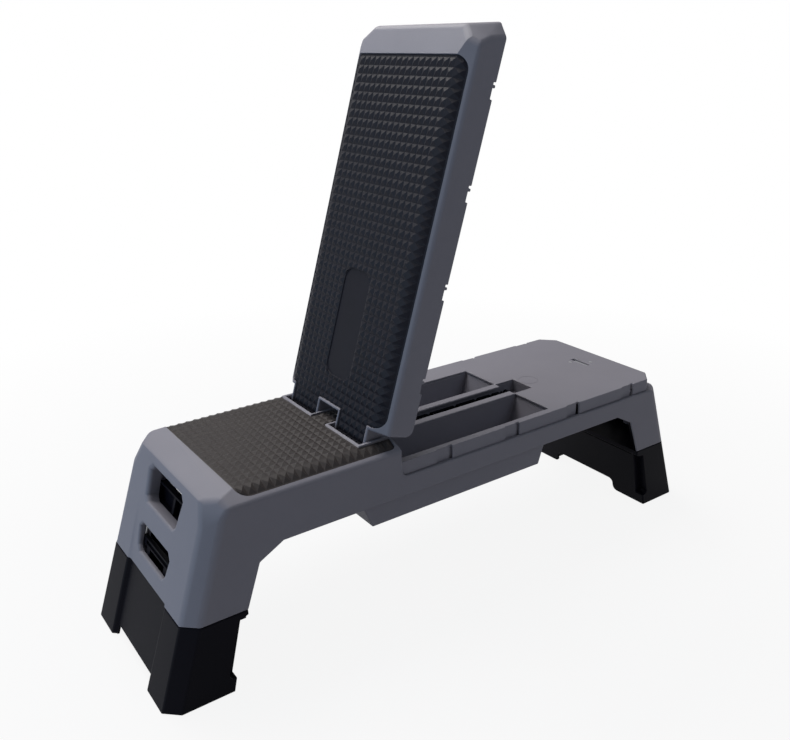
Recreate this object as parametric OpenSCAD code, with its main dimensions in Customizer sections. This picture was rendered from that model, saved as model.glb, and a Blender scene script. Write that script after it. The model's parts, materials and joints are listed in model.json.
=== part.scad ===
// Folding weight bench: a moulded deck on two fold-under legs, with a hinged
// backrest that a sliding prop strut holds at seven angles.
// X runs along the bench from the seat end to the far end, Y across it, Z up from the floor.
// The origin is on the floor under the middle of the bench.

/* [Overall] */
// Length over the feet at floor level
bench_l = 1200; // [1150:5:1300]
// Width over the feet at floor level
bench_w = 342; // [336:1:360]
// Height of the pad tops with the legs out
bench_h = 336; // [334:1:342]
// Lean of the two end faces from upright, in degrees
end_lean = 17.9; // [16:0.1:18.5]
// Draft of the long side faces from upright, in degrees
side_draft = 1.72; // [1:0.02:2]
// Upright corner chamfer, measured along the bench
corner_x = 24; // [16:1:30]
// Upright corner chamfer, measured across the bench
corner_y = 22; // [16:1:28]
// Wall of the grey mouldings
wall = 4; // [3:0.5:5]

/* [Crown] */
// Margin from the side of the bench to the flat top
flat_margin = 40; // [37:1:46]
// Drop of the bevelled sides for each millimetre outwards
crown_slope = 0.574; // [0.5:0.01:0.62]
// Depth of the ridge where an end face meets the top band
ridge_drop = 12.5; // [10:0.5:16]
// Rise of the top band for each millimetre inwards
band_slope = 0.237; // [0.2:0.005:0.26]
// Margin from the side of the bench to the end of a ridge
ridge_margin = 51; // [46:1:56]
// Reach of a corner facet along the side, from the ridge
facet_run = 28; // [20:1:34]
// Depth of the low tip of a corner facet
facet_tip_drop = 42; // [36:1:50]

/* [Side view] */
// Height of the seam between the grey body and a black leg
seam_z = 139; // [136:1:142]
// Inner edge of a leg stub at the seam, from the end of the bench
stub_in_low = 148.5; // [147:0.5:152]
// Inner edge of a leg stub at the knee, from the end of the bench
stub_in_high = 174.6; // [170:0.5:178]
// Depth of the knee
knee_drop = 124; // [120:1:128]
// Where the knee chamfer meets the side rail, from the end of the bench
rail_start = 217.6; // [212:0.5:224]
// Depth of the underside of the side rails
rail_drop = 101; // [98:1:104]
// Depth of the ledge that the backrest closes onto
ledge_drop = 65; // [62:1:68]
// Depth of the deck
deck_drop = 40; // [37:1:44]
// Fillet between the seat block and the ledge
ledge_fillet = 13; // [8:1:15]

/* [Hinge] */
// Hinge axis, from the seat end of the bench
hinge_from_end = 410; // [405:1:420]
// Hinge axis below the pad tops
hinge_drop = 19.3; // [18.5:0.1:20]
// Hinge rod radius
rod_r = 4; // [3.5:0.5:4.5]
// Running clearance on pins and rods, on the radius
run_fit = 0.08; // [0.05:0.01:0.1]
// Reach of the backrest tongues from the axis, at their top edge
tongue_r = 30.9; // [30:0.1:32]
// Depth of the tongue space below the hinge axis
root_deep = 29; // [28.5:0.5:30]
// Gap between the tongues and the seat
hinge_gap = 1.5; // [1:0.1:2]
// Ends of the seat fingers, from the axis
finger_r = 35; // [33:0.5:38]
// Gap between the seat fingers and the backrest
lid_gap = 1.5; // [1.2:0.1:3]
// Half width of the middle seat finger
mid_finger_hw = 29; // [24:1:34]
// Margin from the side of the bench to the outer seat fingers
side_finger_margin = 45; // [41:1:48]
// Depth of a tongue below the hinge axis
tongue_deep = 13; // [11:0.5:14]
// Backrest angle from flat in the picture, in degrees
rest_angle = 73.7; // [70:0.1:74]
// Wall of a hinge bush
bush_t = 2; // [1.5:0.1:2.5]
// Length of a hinge bush
bush_l = 14; // [10:1:20]

/* [Pads] */
// Pad thickness
pad_t = 7; // [6:0.5:8]
// Front edge of a pad, from the end of the bench
pad_from_end = 153; // [150:1:160]
// Margin from the side of the bench to the pads
pad_margin = 18; // [16:0.5:21]
// Corner radius of the pads
pad_r = 24; // [16:1:30]
// Bare shell edge left round the hinge notches
bare_edge = 5.5; // [4:0.5:7]
// Clearance round a pad in its recess
pad_gap = 0.3; // [0.2:0.1:0.5]
// Depth of the smooth oblong in the backrest pad
oblong_deep = 1.5; // [1:0.25:2.5]
// Length of the smooth oblong
oblong_l = 190; // [150:5:220]
// Width of the smooth oblong
oblong_w = 74; // [50:2:90]
// Near end of the oblong, from the seat end of the bench
oblong_from_end = 499; // [480:1:520]

/* [Deck and pockets] */
// Step between the backrest skirt and the deck rim, from the outer face
rim_inset = 4.8; // [4.6:0.1:5.4]
// Corner chamfer of the deck rim at the far end
rim_corner = 27; // [26:1:40]
// Middle of the strut channel, across the bench
channel_y = -20; // [-24:1:-16]
// Half width of the strut channel
channel_hw = 15; // [13:0.5:17]
// Width of the two ribs beside the channel
rib_w = 16; // [14:0.5:18]
// Margin from the side of the bench to the far pocket
pocket_margin = 69; // [66:1:74]
// Near end of the pockets, from the seat end of the bench
pocket_start = 456; // [452:1:470]
// Far end of the pockets, from the seat end of the bench
pocket_end = 802; // [780:1:804]
// Far end of the notch that closes the channel
notch_end = 850; // [840:1:860]
// Length of each rim recess along the bench
rim_slot_l = 28; // [20:1:34]
// Spacing of the rim recesses
rim_slot_pitch = 158; // [150:1:162]
// First rim recess, from the seat end of the bench
rim_slot_start = 521; // [510:1:530]
// Width of the through slit at the end of each rim recess
rim_slit_w = 7; // [5:0.5:9]
// Latch slot in the deck, from the far end of the bench
catch_from_far_end = 164; // [158:1:175]
// Latch slot across the bench
catch_y = -5; // [-10:1:5]
// Length of the latch slot across the bench
catch_slot_l = 46; // [40:1:50]
// Width of the latch slot along the bench
catch_slot_w = 11; // [10:0.5:13]

/* [Storage bin] */
// Margin from the side of the bench to the bin
bin_margin = 18.6; // [18.4:0.1:20]
// Depth of the underside of the bin
bin_drop = 145.5; // [136:0.5:148]
// Foot of the front wall, from the seat end of the bench
bin_start = 389.5; // [386:1:396]
// Lean of the front wall, run for each millimetre of height
bin_front_lean = 0.432; // [0.4:0.004:0.5]
// Foot of the far wall, from the seat end of the bench
bin_end = 774.5; // [765:0.5:780]
// Lean of the far wall, run for each millimetre of height
bin_far_lean = 0.33; // [0.31:0.005:0.36]
// Wall of the bin
bin_wall = 3; // [2.5:0.5:3.5]
// Depth of the top of the bin under the hinge
bin_low_drop = 53; // [53:1:58]
// Depth of the floor of the strut trough
trough_drop = 66.3; // [62:0.1:68]

/* [Prop strut] */
// Strut pivot from the hinge axis, along the closed backrest
strut_pivot = 188; // [184:1:192]
// Strut pivot below the hinge axis, backrest closed
strut_pivot_drop = 14; // [13:0.5:15]
// Strut length, pivot to foot rod
strut_l = 224; // [222:1:228]
// Path of the foot rod below the hinge axis
foot_drop = 33; // [33:0.5:35]
// Radius of the strut pin and the foot rod
strut_pin_r = 4; // [3:0.5:4]
// Width of the strut
strut_w = 22; // [18:1:24]
// Length of the foot rod across the bench
foot_rod_l = 52; // [46:1:54]
// Slack between the foot rod and the rack teeth
foot_slack = 1.1; // [0.8:0.1:1.5]

/* [Legs] */
// Leg pivot, from the end of the bench
leg_pivot_from_end = 150; // [148:0.5:152]
// Depth of the leg pivot
leg_pivot_drop = 126.5; // [126:0.5:128]
// Gap at the seam
seam_gap = 0.8; // [0.6:0.1:1.2]
// Wall of the legs
leg_wall = 4; // [3:0.5:5]
// Inner foot of a leg at the floor, from the end of the bench
leg_in_low = 113; // [108:1:116]
// Inner face of a leg under its collar, from the end of the bench
leg_in_high = 143; // [138:1:145]
// Height of the collar under the seam
collar_h = 10; // [7:0.5:12]
// Depth of the sunk middle of a leg's end face
leg_sunk = 7; // [4:0.5:9]
// Margin from the side of the bench to that sunk middle
leg_sunk_margin = 93; // [88:1:100]
// Height of the cut under the sunk middle
leg_cut_z = 20; // [12:1:26]
// Height of the arch in the inner face of a leg
leg_arch_z = 28; // [20:1:34]
// Margin from the side of the bench to that arch
leg_arch_margin = 87; // [80:1:95]
// Corner recess of a leg, depth along the bench
leg_notch_x = 15; // [10:1:20]
// Corner recess of a leg, depth across the bench
leg_notch_y = 14; // [8:1:18]
// Foot of the corner recess above the floor
leg_notch_z = 26; // [20:1:34]
// Rubber foot thickness
rubber_t = 2.5; // [2:0.25:4]
// Length of a rubber foot along the bench
foot_l = 28; // [22:1:30]
// Height of a leg sole, by which its rubber feet stand proud
sole_z = 0.6; // [0.4:0.1:1.5]
// Leg pin radius
leg_pin_r = 6; // [5:0.5:7]
// Cheek thickness
cheek_t = 5.5; // [4.5:0.5:6]

/* [End windows and latches] */
// Hand hold: low edge, below the pad tops along the end face
hold_low_drop = 91.1; // [87:0.1:95]
// Hand hold: high edge, below the pad tops along the end face
hold_high_drop = 32.1; // [29:0.1:36]
// Hand hold: half width at the top
hold_hw = 67; // [60:1:70]
// Latch window: low edge, below the pad tops along the end face
latch_low_drop = 178.1; // [175:0.1:181]
// Latch window: high edge, below the pad tops along the end face
latch_high_drop = 130.1; // [127:0.1:134]
// Latch window: half width at the top
latch_hw = 64; // [58:1:66]
// Middle of both windows, across the bench
window_y = 0; // [-12:1:12]
// Depth of the hand hold frame
hold_deep = 22; // [16:1:26]
// Depth of the latch window frame
latch_deep = 11; // [9:0.5:11]
// Travel of a latch
latch_travel = 10; // [8:0.5:12]
// Half length of a latch bar
latch_bar_hw = 73; // [70:1:76]
// Height of a latch bar
latch_bar_h = 12; // [10:1:14]
// Sinking of the middle of the grey end face at the seam
face_sunk = 3; // [2:0.25:4]

/* [Hidden] */
$fn = 48;
reach = 900;
half_l = bench_l / 2;
half_w = bench_w / 2;
lean = tan(end_lean);
draft = tan(side_draft);
flat_hw = half_w - flat_margin;
ridge_hw = half_w - ridge_margin;
side_finger_y = half_w - side_finger_margin;
pad_hw = half_w - pad_margin;
bin_hw = half_w - bin_margin;
leg_sunk_hw = half_w - leg_sunk_margin;
leg_arch_hw = half_w - leg_arch_margin;
pocket_w = half_w - pocket_margin - channel_y - channel_hw - rib_w;
ridge_z = bench_h - ridge_drop;
facet_tip_z = bench_h - facet_tip_drop;
knee_z = bench_h - knee_drop;
rail_z = bench_h - rail_drop;
ledge_z = bench_h - ledge_drop;
deck_z = bench_h - deck_drop;
bin_z = bench_h - bin_drop;
bin_low_top = bench_h - bin_low_drop;
trough_z = bench_h - trough_drop;
leg_pivot_z = bench_h - leg_pivot_drop;
face_h = bench_h / cos(end_lean);
hold_low = face_h - hold_low_drop;
hold_high = face_h - hold_high_drop;
latch_low = face_h - latch_low_drop;
latch_high = face_h - latch_high_drop;
hinge_x = hinge_from_end - half_l;
hinge_z = bench_h - hinge_drop;
crown_deep = pad_t + wall;
seat_end_x = hinge_x + finger_r;
root_r = tongue_r + hinge_gap;
root_top = sqrt(pow(root_r, 2) - pow(hinge_drop, 2));
root_floor_z = hinge_z - root_deep;
tongue_end = sqrt(pow(tongue_r, 2) - pow(hinge_drop, 2));
lid_start_x = seat_end_x + lid_gap;
lid_under_z = bench_h - crown_deep;
rim_wall_in = rim_inset + wall;
deck_under_z = deck_z - wall;
grey = [0.40, 0.42, 0.48];
black = [0.10, 0.10, 0.12];
rubber = [0.14, 0.14, 0.15];
steel = [0.62, 0.63, 0.65];
strut_pivot_rest = [
    strut_pivot * cos(rest_angle) + strut_pivot_drop * sin(rest_angle),
    strut_pivot * sin(rest_angle) - strut_pivot_drop * cos(rest_angle)];
strut_rest_angle = -asin((strut_pivot_rest[1] + foot_drop) / strut_l);
foot_rest_x = hinge_x + strut_pivot_rest[0] + strut_l * cos(strut_rest_angle);
foot_closed_x = hinge_x + strut_pivot + sqrt(pow(strut_l, 2) - pow(foot_drop - strut_pivot_drop, 2));
foot_z = hinge_z - foot_drop;
rack_tip_z = foot_z - strut_pin_r - foot_slack;
tongue_x = wall + face_sunk + 0.6;
latch_x = tongue_x + leg_wall + 0.5;
latch_t = 8;
latch_bar_z = latch_low + 10;
leg_tongue_top = latch_low - 6;
spring_top = latch_bar_z + latch_bar_h + latch_travel + 27;
seat_gap = 0.3;
rack_hw = channel_hw + rib_w - bin_wall - 0.3;
seat_positions = 7;

// Half width of the bench at a height
function side_y(z) = half_w - draft * z;

// Distance of an end face from the middle at a height
function end_x(z) = half_l - lean * z;

// Foot rod position along the bench at a backrest angle
function foot_x(a) = hinge_x + strut_pivot * cos(a) + strut_pivot_drop * sin(a)
    + sqrt(pow(strut_l, 2) - pow(strut_pivot * sin(a) - strut_pivot_drop * cos(a) + foot_drop, 2));

// All space beyond a plane through p, on the side that n points to
module beyond(p, n) {
    translate(p)
        rotate([0, acos(n[2] / norm(n)), atan2(n[1], n[0])])
            translate([-reach, -reach, 0])
                cube([2 * reach, 2 * reach, 2 * reach]);
}

// A shape drawn in side view, run right across the bench
module side_prism() {
    rotate([90, 0, 0])
        linear_extrude(height = 2 * reach, center = true)
            children();
}

// A shape drawn in end view, run the whole length of the bench
module end_prism() {
    rotate([90, 0, 90])
        linear_extrude(height = 2 * reach, center = true)
            children();
}

// A block between two heights, by its edges
module block(x0, x1, y0, y1, z0, z1) {
    translate([x0, y0, z0])
        cube([x1 - x0, y1 - y0, z1 - z0]);
}

// A round bar across the bench
module cross_bar(r, y0, y1) {
    translate([0, y0, 0])
        rotate([-90, 0, 0])
            cylinder(r = r, h = y1 - y0);
}

// The tapered block that all outer faces lie on, between two heights
module envelope(inset, z0, z1) {
    side_in = inset / cos(end_lean);
    low = -60;
    high = bench_h + 60;
    n = [corner_y, corner_x, corner_y * lean + corner_x * draft];
    difference() {
        intersection() {
            side_prism()
                polygon([[-end_x(low) + side_in, low], [end_x(low) - side_in, low],
                    [end_x(high) - side_in, high], [-end_x(high) + side_in, high]]);
            end_prism()
                polygon([[-side_y(low) + inset, low], [side_y(low) - inset, low],
                    [side_y(high) - inset, high], [-side_y(high) + inset, high]]);
            block(-reach, reach, -reach, reach, z0, z1);
        }
        for (sx = [-1, 1], sy = [-1, 1]) {
            out = [sx * n[0], sy * n[1], n[2]];
            beyond([sx * (half_l - corner_x), sy * half_w, 0] - inset * out / norm(out), out);
        }
    }
}

// The space under the crowned top, which can be lowered
module crown(drop) {
    edge_z = bench_h - drop - crown_slope * (half_w - flat_hw);
    end_prism()
        polygon([[-half_w, -1], [half_w, -1], [half_w, edge_z], [flat_hw, bench_h - drop],
            [-flat_hw, bench_h - drop], [-half_w, edge_z]]);
}

// The closed outer form of the bench, with its top bands and corner facets
module bench_form(inset, drop, z0) {
    a = [end_x(ridge_z), ridge_hw, ridge_z];
    b = [a[0] - facet_run, side_y(a[2] - 5), a[2] - 5];
    c = [end_x(facet_tip_z) - corner_x / 2, side_y(facet_tip_z) - corner_y / 2, facet_tip_z];
    n = cross(c - a, b - a);
    difference() {
        intersection() {
            envelope(inset, z0, bench_h);
            crown(drop);
        }
        for (sx = [-1, 1])
            beyond([sx * (a[0] - inset), 0, ridge_z - drop], [sx * band_slope, 0, 1]);
        for (sx = [-1, 1], sy = [-1, 1]) {
            out = [sx * n[0], sy * n[1], n[2]];
            beyond([sx * a[0], sy * a[1], a[2]] - (inset + drop / 3) * out / norm(out), out);
        }
    }
}

// Places children on the seat end face: X inwards, Y across, Z up along the face
module on_end_face() {
    translate([-half_l, 0, 0])
        rotate([0, end_lean, 0])
            children();
}

// A window outline on an end face, narrower at its foot
module window_outline(low, high, hw, grow) {
    cut = 9;
    foot = hw - 6;
    polygon([
        [-hw - grow, high - cut], [-hw - grow + cut, high + grow],
        [hw + grow - cut, high + grow], [hw + grow, high - cut],
        [foot + grow, low + cut], [foot + grow - cut, low - grow],
        [-foot - grow + cut, low - grow], [-foot - grow, low + cut]]);
}

// A window run through an end face to a depth
module window_tunnel(low, high, hw, grow, from, deep) {
    translate([from, window_y, 0])
        rotate([90, 0, 90])
            linear_extrude(height = deep)
                window_outline(low, high, hw, grow);
}

// Side view of the grey base, open under the arch
module base_side_view() {
    difference() {
        union() {
            polygon([[-half_l, seam_z], [-half_l, bench_h], [seat_end_x, bench_h], [seat_end_x, ledge_z],
                [half_l, ledge_z], [half_l, seam_z]]);
            difference() {
                translate([seat_end_x, ledge_z])
                    square(ledge_fillet);
                translate([seat_end_x + ledge_fillet, ledge_z + ledge_fillet])
                    circle(r = ledge_fillet);
            }
        }
        polygon([[-half_l + stub_in_low, seam_z - 1], [-half_l + stub_in_low, seam_z],
            [-half_l + stub_in_high, knee_z], [-half_l + rail_start, rail_z],
            [half_l - rail_start, rail_z], [half_l - stub_in_high, knee_z],
            [half_l - stub_in_low, seam_z], [half_l - stub_in_low, seam_z - 1]]);
    }
}

// Outline of the seat pad from above, with its fingers; grow widens it into its recess
module seat_pad_plan(grow) {
    x0 = -half_l + pad_from_end - grow;
    x1 = hinge_x - root_top - bare_edge + grow;
    x2 = seat_end_x - bare_edge + grow;
    hw = pad_hw + grow;
    translate([x0 + pad_r, -hw])
        square([x1 - x0 - pad_r, 2 * hw]);
    translate([x0, -hw + pad_r])
        square([pad_r + 1, 2 * (hw - pad_r)]);
    for (sy = [-1, 1])
        translate([x0 + pad_r, sy * (hw - pad_r)])
            circle(r = pad_r);
    for (sy = [-1, 1])
        mirror([0, sy < 0 ? 1 : 0])
            side_strip(x1, x2, side_finger_y + bare_edge - grow, hw);
    translate([x1 - 1, -mid_finger_hw + bare_edge - grow])
        square([x2 - x1 + 1, 2 * (mid_finger_hw - bare_edge + grow)]);
}

// One strip of pad on an outer finger, with a rounded end corner
module side_strip(x1, x2, y0, y1) {
    r = (y1 - y0) / 2 - 0.5;
    translate([x1 - 1, y0])
        square([x2 - x1 + 1 - r, y1 - y0]);
    translate([x2 - r - 1, y0])
        square([r + 1, y1 - y0 - r]);
    translate([x2 - r, y1 - r])
        circle(r = r);
}

// Outline of the backrest pad from above, backrest closed
module backrest_pad_plan(grow) {
    x0 = lid_start_x + bare_edge - grow;
    x1 = half_l - pad_from_end + grow;
    hw = pad_hw + grow;
    tongue_in = mid_finger_hw + hinge_gap + bare_edge - grow;
    tongue_out = side_finger_y - hinge_gap - bare_edge + grow;
    translate([x0 + pad_r, -hw])
        square([x1 - x0 - 2 * pad_r, 2 * hw]);
    translate([x0, -hw + pad_r])
        square([x1 - x0, 2 * (hw - pad_r)]);
    for (x = [x0 + pad_r, x1 - pad_r], sy = [-1, 1])
        translate([x, sy * (hw - pad_r)])
            circle(r = pad_r);
    for (sy = [-1, 1])
        mirror([0, sy < 0 ? 1 : 0])
            translate([hinge_x - tongue_end, tongue_in])
                square([x0 - hinge_x + tongue_end + 1, tongue_out - tongue_in]);
}

// A layer of the crowned top between two depths, over a plan shape
module crown_layer(top, bottom) {
    difference() {
        intersection() {
            translate([0, 0, bench_h - 60])
                linear_extrude(height = 70)
                    children();
            bench_form(0, top, 0);
        }
        bench_form(0, bottom, -1);
    }
}

// The space that the backrest sweeps between the seat fingers
module hinge_space() {
    for (sy = [-1, 1])
        mirror([0, sy < 0 ? 1 : 0]) {
            intersection() {
                translate([hinge_x, 0, hinge_z])
                    cross_bar(root_r, mid_finger_hw, side_finger_y);
                block(hinge_x - root_r - 1, hinge_x + 1, 0, half_w, root_floor_z, bench_h + 1);
            }
            block(hinge_x, seat_end_x + 1, mid_finger_hw, side_finger_y, root_floor_z, bench_h + 1);
        }
}

// The trough that closes the seat block under the tongues
module hinge_trough() {
    r = root_r + 3;
    for (sy = [-1, 1])
        mirror([0, sy < 0 ? 1 : 0])
            difference() {
                union() {
                    intersection() {
                        translate([hinge_x, 0, hinge_z])
                            cross_bar(r, mid_finger_hw - 3, side_finger_y + 3);
                        block(hinge_x - r - 1, hinge_x + 1, 0, half_w, root_floor_z - 3, lid_under_z + 1);
                    }
                    block(hinge_x, seat_end_x, mid_finger_hw - 3, side_finger_y + 3,
                        root_floor_z - 3, root_floor_z);
                }
                hinge_space();
            }
}

// Rounded finger ends that clear the backrest as it swings
module finger_rounding() {
    difference() {
        block(hinge_x, seat_end_x + 1, -half_w, half_w, hinge_z, bench_h + 1);
        translate([hinge_x, 0, hinge_z])
            cross_bar(finger_r + 0.6, -half_w - 1, half_w + 1);
    }
}

// Guide posts of a latch, on the inside of an end face
module latch_guides() {
    for (sy = [-1, 1])
        mirror([0, sy < 0 ? 1 : 0])
            difference() {
                block(wall - 1, latch_x + latch_t + 4, latch_bar_hw - 10, latch_bar_hw + 5,
                    latch_bar_z - 24, spring_top + 5);
                block(latch_x - 0.4, latch_x + latch_t + 0.4, latch_bar_hw - 11, latch_bar_hw + 0.4,
                    latch_bar_z - 25, spring_top);
            }
}

// Bosses that carry the leg pins inside the side walls
module leg_bosses() {
    boss_in = side_y(leg_pivot_z) - wall - 4.8;
    for (sy = [-1, 1])
        mirror([0, sy < 0 ? 1 : 0])
            translate([-half_l + leg_pivot_from_end, 0, leg_pivot_z])
                difference() {
                    cross_bar(leg_pin_r + 9, boss_in, side_y(leg_pivot_z) - wall / 2);
                    cross_bar(leg_pin_r + run_fit, boss_in - 1, side_y(leg_pivot_z) - wall - 0.6);
                }
}

// Everything that the two ends of the base have alike, drawn at the seat end
module end_inside() {
    on_end_face() {
        window_frame(latch_low, latch_high, latch_hw, latch_deep);
        latch_guides();
    }
    leg_bosses();
}

// The frame round a window, behind the end face
module window_frame(low, high, hw, deep) {
    difference() {
        window_tunnel(low, high, hw, 3, wall - 1, deep - wall + 1);
        window_tunnel(low, high, hw, 0, -1, deep + 2);
    }
}

// The sunk middle of the grey end face, which fades out upwards
module face_sinking() {
    low = seam_z / cos(end_lean);
    fade = 110;
    difference() {
            translate([0, 0, low - 10])
                linear_extrude(height = fade + 60)
                    polygon([[-1, leg_sunk_hw + 8], [face_sunk, leg_sunk_hw],
                        [face_sunk, -leg_sunk_hw], [-1, -leg_sunk_hw - 8]]);
            beyond([0, 0, low + fade], [fade, 0, face_sunk]);
        }
}

// Thicker wall behind the sunk middle of an end face
module face_backing() {
    on_end_face()
        block(0, wall + face_sunk, -leg_sunk_hw - 8, leg_sunk_hw + 8, seam_z - 39, latch_high + 28);
}

// One-piece grey base: seat block, side rails and the two leg stubs
module base_shell() {
    color(grey)
        difference() {
            union() {
                difference() {
                    intersection() {
                        bench_form(0, 0, seam_z);
                        side_prism()
                            base_side_view();
                    }
                    intersection() {
                        bench_form(wall, crown_deep, seam_z - 1);
                        block(-half_l, seat_end_x - wall, -half_w, half_w, 0, bench_h);
                    }
                    difference() {
                        envelope(wall, seam_z - 1, ledge_z - wall);
                        face_backing();
                        mirror([1, 0, 0])
                            face_backing();
                    }
                    tray_form(rim_wall_in, seat_end_x, seam_z - 1, ledge_z + 1);
                    tray_form(rim_inset - seat_gap, seat_end_x, ledge_z, deck_z);
                    intersection() {
                        envelope(rim_wall_in, seam_z - 1, bin_low_top + 1);
                        block(-half_l, seat_end_x + 1, -half_w, half_w, 0, bin_low_top + 1);
                    }
                }
                hinge_trough();
                finger_bosses();
                bin_bosses();
                end_inside();
                mirror([1, 0, 0])
                    end_inside();
                on_end_face()
                    window_frame(hold_low, hold_high, hold_hw, hold_deep);
            }
            hinge_space();
            finger_rounding();
            crown_layer(-1, pad_t)
                seat_pad_plan(pad_gap);
            on_end_face() {
                window_tunnel(hold_low, hold_high, hold_hw, 0, -1, hold_deep + 2);
                window_tunnel(latch_low, latch_high, latch_hw, 0, -1, latch_deep + 2);
                face_sinking();
            }
            mirror([1, 0, 0])
                on_end_face() {
                    window_tunnel(latch_low, latch_high, latch_hw, 0, -1, latch_deep + 2);
                    face_sinking();
                }
            translate([hinge_x, 0, hinge_z])
                cross_bar(rod_r + run_fit, -hinge_rod_hl(), hinge_rod_hl());
            for (y = bin_screw_ys())
                translate([bin_front_screw_x(), y, bin_low_top - 1])
                    cylinder(r = 2, h = 20);
        }
}

// Half length of the hinge rod
function hinge_rod_hl() = side_finger_y + 9;

// Screw rows of the storage bin
function bin_screw_ys() = [-110, 40, 115];
function bin_front_screw_x() = -half_l + bin_start - bin_front_lean * (bin_low_top - bin_z) - 7;
function bin_far_screw_x() = -half_l + bin_end + bin_far_lean * (deck_under_z - bin_z) + 7;

// Bosses for the hinge rod in the seat fingers
module finger_bosses() {
    r = rod_r + 4;
    translate([hinge_x, 0, hinge_z]) {
        cross_bar(r, -mid_finger_hw, mid_finger_hw);
        for (sy = [-1, 1])
            mirror([0, sy < 0 ? 1 : 0])
                cross_bar(r, side_finger_y, hinge_rod_hl() + 2);
    }
    for (sy = [-1, 1])
        mirror([0, sy < 0 ? 1 : 0]) {
            block(hinge_x - root_r - 3, seat_end_x, side_finger_y, side_finger_y + 3,
                root_floor_z - 3, lid_under_z + 0.5);
            block(hinge_x - root_r - 3, seat_end_x, mid_finger_hw - 3, mid_finger_hw,
                root_floor_z - 3, lid_under_z + 0.5);
        }
}

// Bosses under the seat that the front of the bin is screwed to
module bin_bosses() {
    for (y = bin_screw_ys())
        translate([bin_front_screw_x(), y, bin_low_top + 0.2])
            cylinder(r = 6, h = lid_under_z - bin_low_top + 0.3);
}

// Places children as they sit on the backrest in the picture, drawn as if it were closed
module on_backrest() {
    translate([hinge_x, 0, hinge_z])
        rotate([0, -rest_angle, 0])
            translate([-hinge_x, 0, -hinge_z])
                children();
}

// The tapered form of the deck rim, its far corners cut off
module tray_form(inset, x0, z0, z1) {
    x = end_x(deck_z) - rim_inset - rim_corner - (inset - rim_inset) * sqrt(2);
    difference() {
        intersection() {
            envelope(inset, z0, z1);
            block(x0, half_l, -half_w, half_w, 0, bench_h);
        }
        for (sy = [-1, 1])
            beyond([x, sy * (side_y(deck_z) - rim_inset), 0], [1, sy, 0]);
    }
}

// Deck moulding with the pocket mouths, standing on the ledge of the base
module deck_tray() {
    slot_x = -half_l + rim_slot_start;
    slots = floor((2 * half_l - rim_slot_start - 40) / rim_slot_pitch);
    color(grey)
        difference() {
            tray_form(rim_inset, seat_end_x + seat_gap, ledge_z, deck_z);
            tray_form(rim_wall_in, seat_end_x + seat_gap + wall, ledge_z - 1, deck_under_z);
            block(seat_end_x, seat_end_x + 5 + wall, -bin_hw - 0.3, bin_hw + 0.3, 0, deck_under_z);
            pocket_mouths();
            for (i = [0:slots - 1], sy = [-1, 1])
                mirror([0, sy < 0 ? 1 : 0])
                    rim_slot(slot_x + i * rim_slot_pitch);
            block(catch_x() - catch_slot_w / 2, catch_x() + catch_slot_w / 2,
                catch_y - catch_slot_l / 2, catch_y + catch_slot_l / 2, deck_under_z - 1, deck_z + 1);
            catch_screw_places()
                countersink(2);
            for (y = bin_screw_ys())
                translate([bin_far_screw_x(), y, deck_under_z - 1])
                    cylinder(r = 2, h = 3.5);
            translate([-half_l + notch_end + 22, channel_y + 6, deck_z - 0.4])
                difference() {
                    cylinder(r = 20, h = 1);
                    translate([0, 0, -1])
                        cylinder(r = 19.2, h = 3);
                }
        }
}

function catch_x() = half_l - catch_from_far_end;

// The two screws beside the latch slot, on a diagonal
module catch_screw_places() {
    for (s = [-1, 1])
        translate([catch_x() + s * 17.5, catch_y - s * 13, deck_z])
            children();
}

// A countersunk hole from the surface down
module countersink(r) {
    translate([0, 0, -wall - 6])
        cylinder(r = r, h = wall + 7);
    translate([0, 0, -2])
        cylinder(r1 = r, r2 = r + 2.1, h = 2.1);
}

// The pocket mouths and the mouth of the strut channel
module pocket_mouths() {
    x0 = -half_l + pocket_start;
    x1 = -half_l + pocket_end;
    near = channel_y - channel_hw - rib_w;
    far = channel_y + channel_hw + rib_w;
    z0 = deck_under_z - 1;
    block(x0, x1, near - pocket_w, near, z0, deck_z + 1);
    block(x0, x1, far, far + pocket_w, z0, deck_z + 1);
    block(x0, x1 + 1, channel_y - channel_hw, channel_y + channel_hw, z0, deck_z + 1);
    block(x1, -half_l + notch_end, near + bin_wall, far - bin_wall, z0, deck_z + 1);
}

// One recess in the rim, ending in a slit
module rim_slot(x) {
    y = side_y(deck_z) - rim_inset;
    block(x, x + rim_slot_l, y - 2.5, y + 5, ledge_z - 1, deck_z + 1);
    block(x + rim_slot_l - 0.1, x + rim_slot_l + rim_slit_w, y - wall - 1, y + 5, ledge_z - 1, deck_z + 1);
}

// Side view of the bin between two insets, open at the top
module bin_side_view(inset, top) {
    x0 = -half_l + bin_start;
    x1 = -half_l + bin_end;
    h = deck_under_z - bin_z;
    polygon([[x0 + inset, bin_z + inset], [x1 - inset, bin_z + inset],
        [x1 - inset + bin_far_lean * (h - inset + top), deck_under_z + top],
        [x0 + inset - bin_front_lean * (h - inset + top), deck_under_z + top]]);
}

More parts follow.
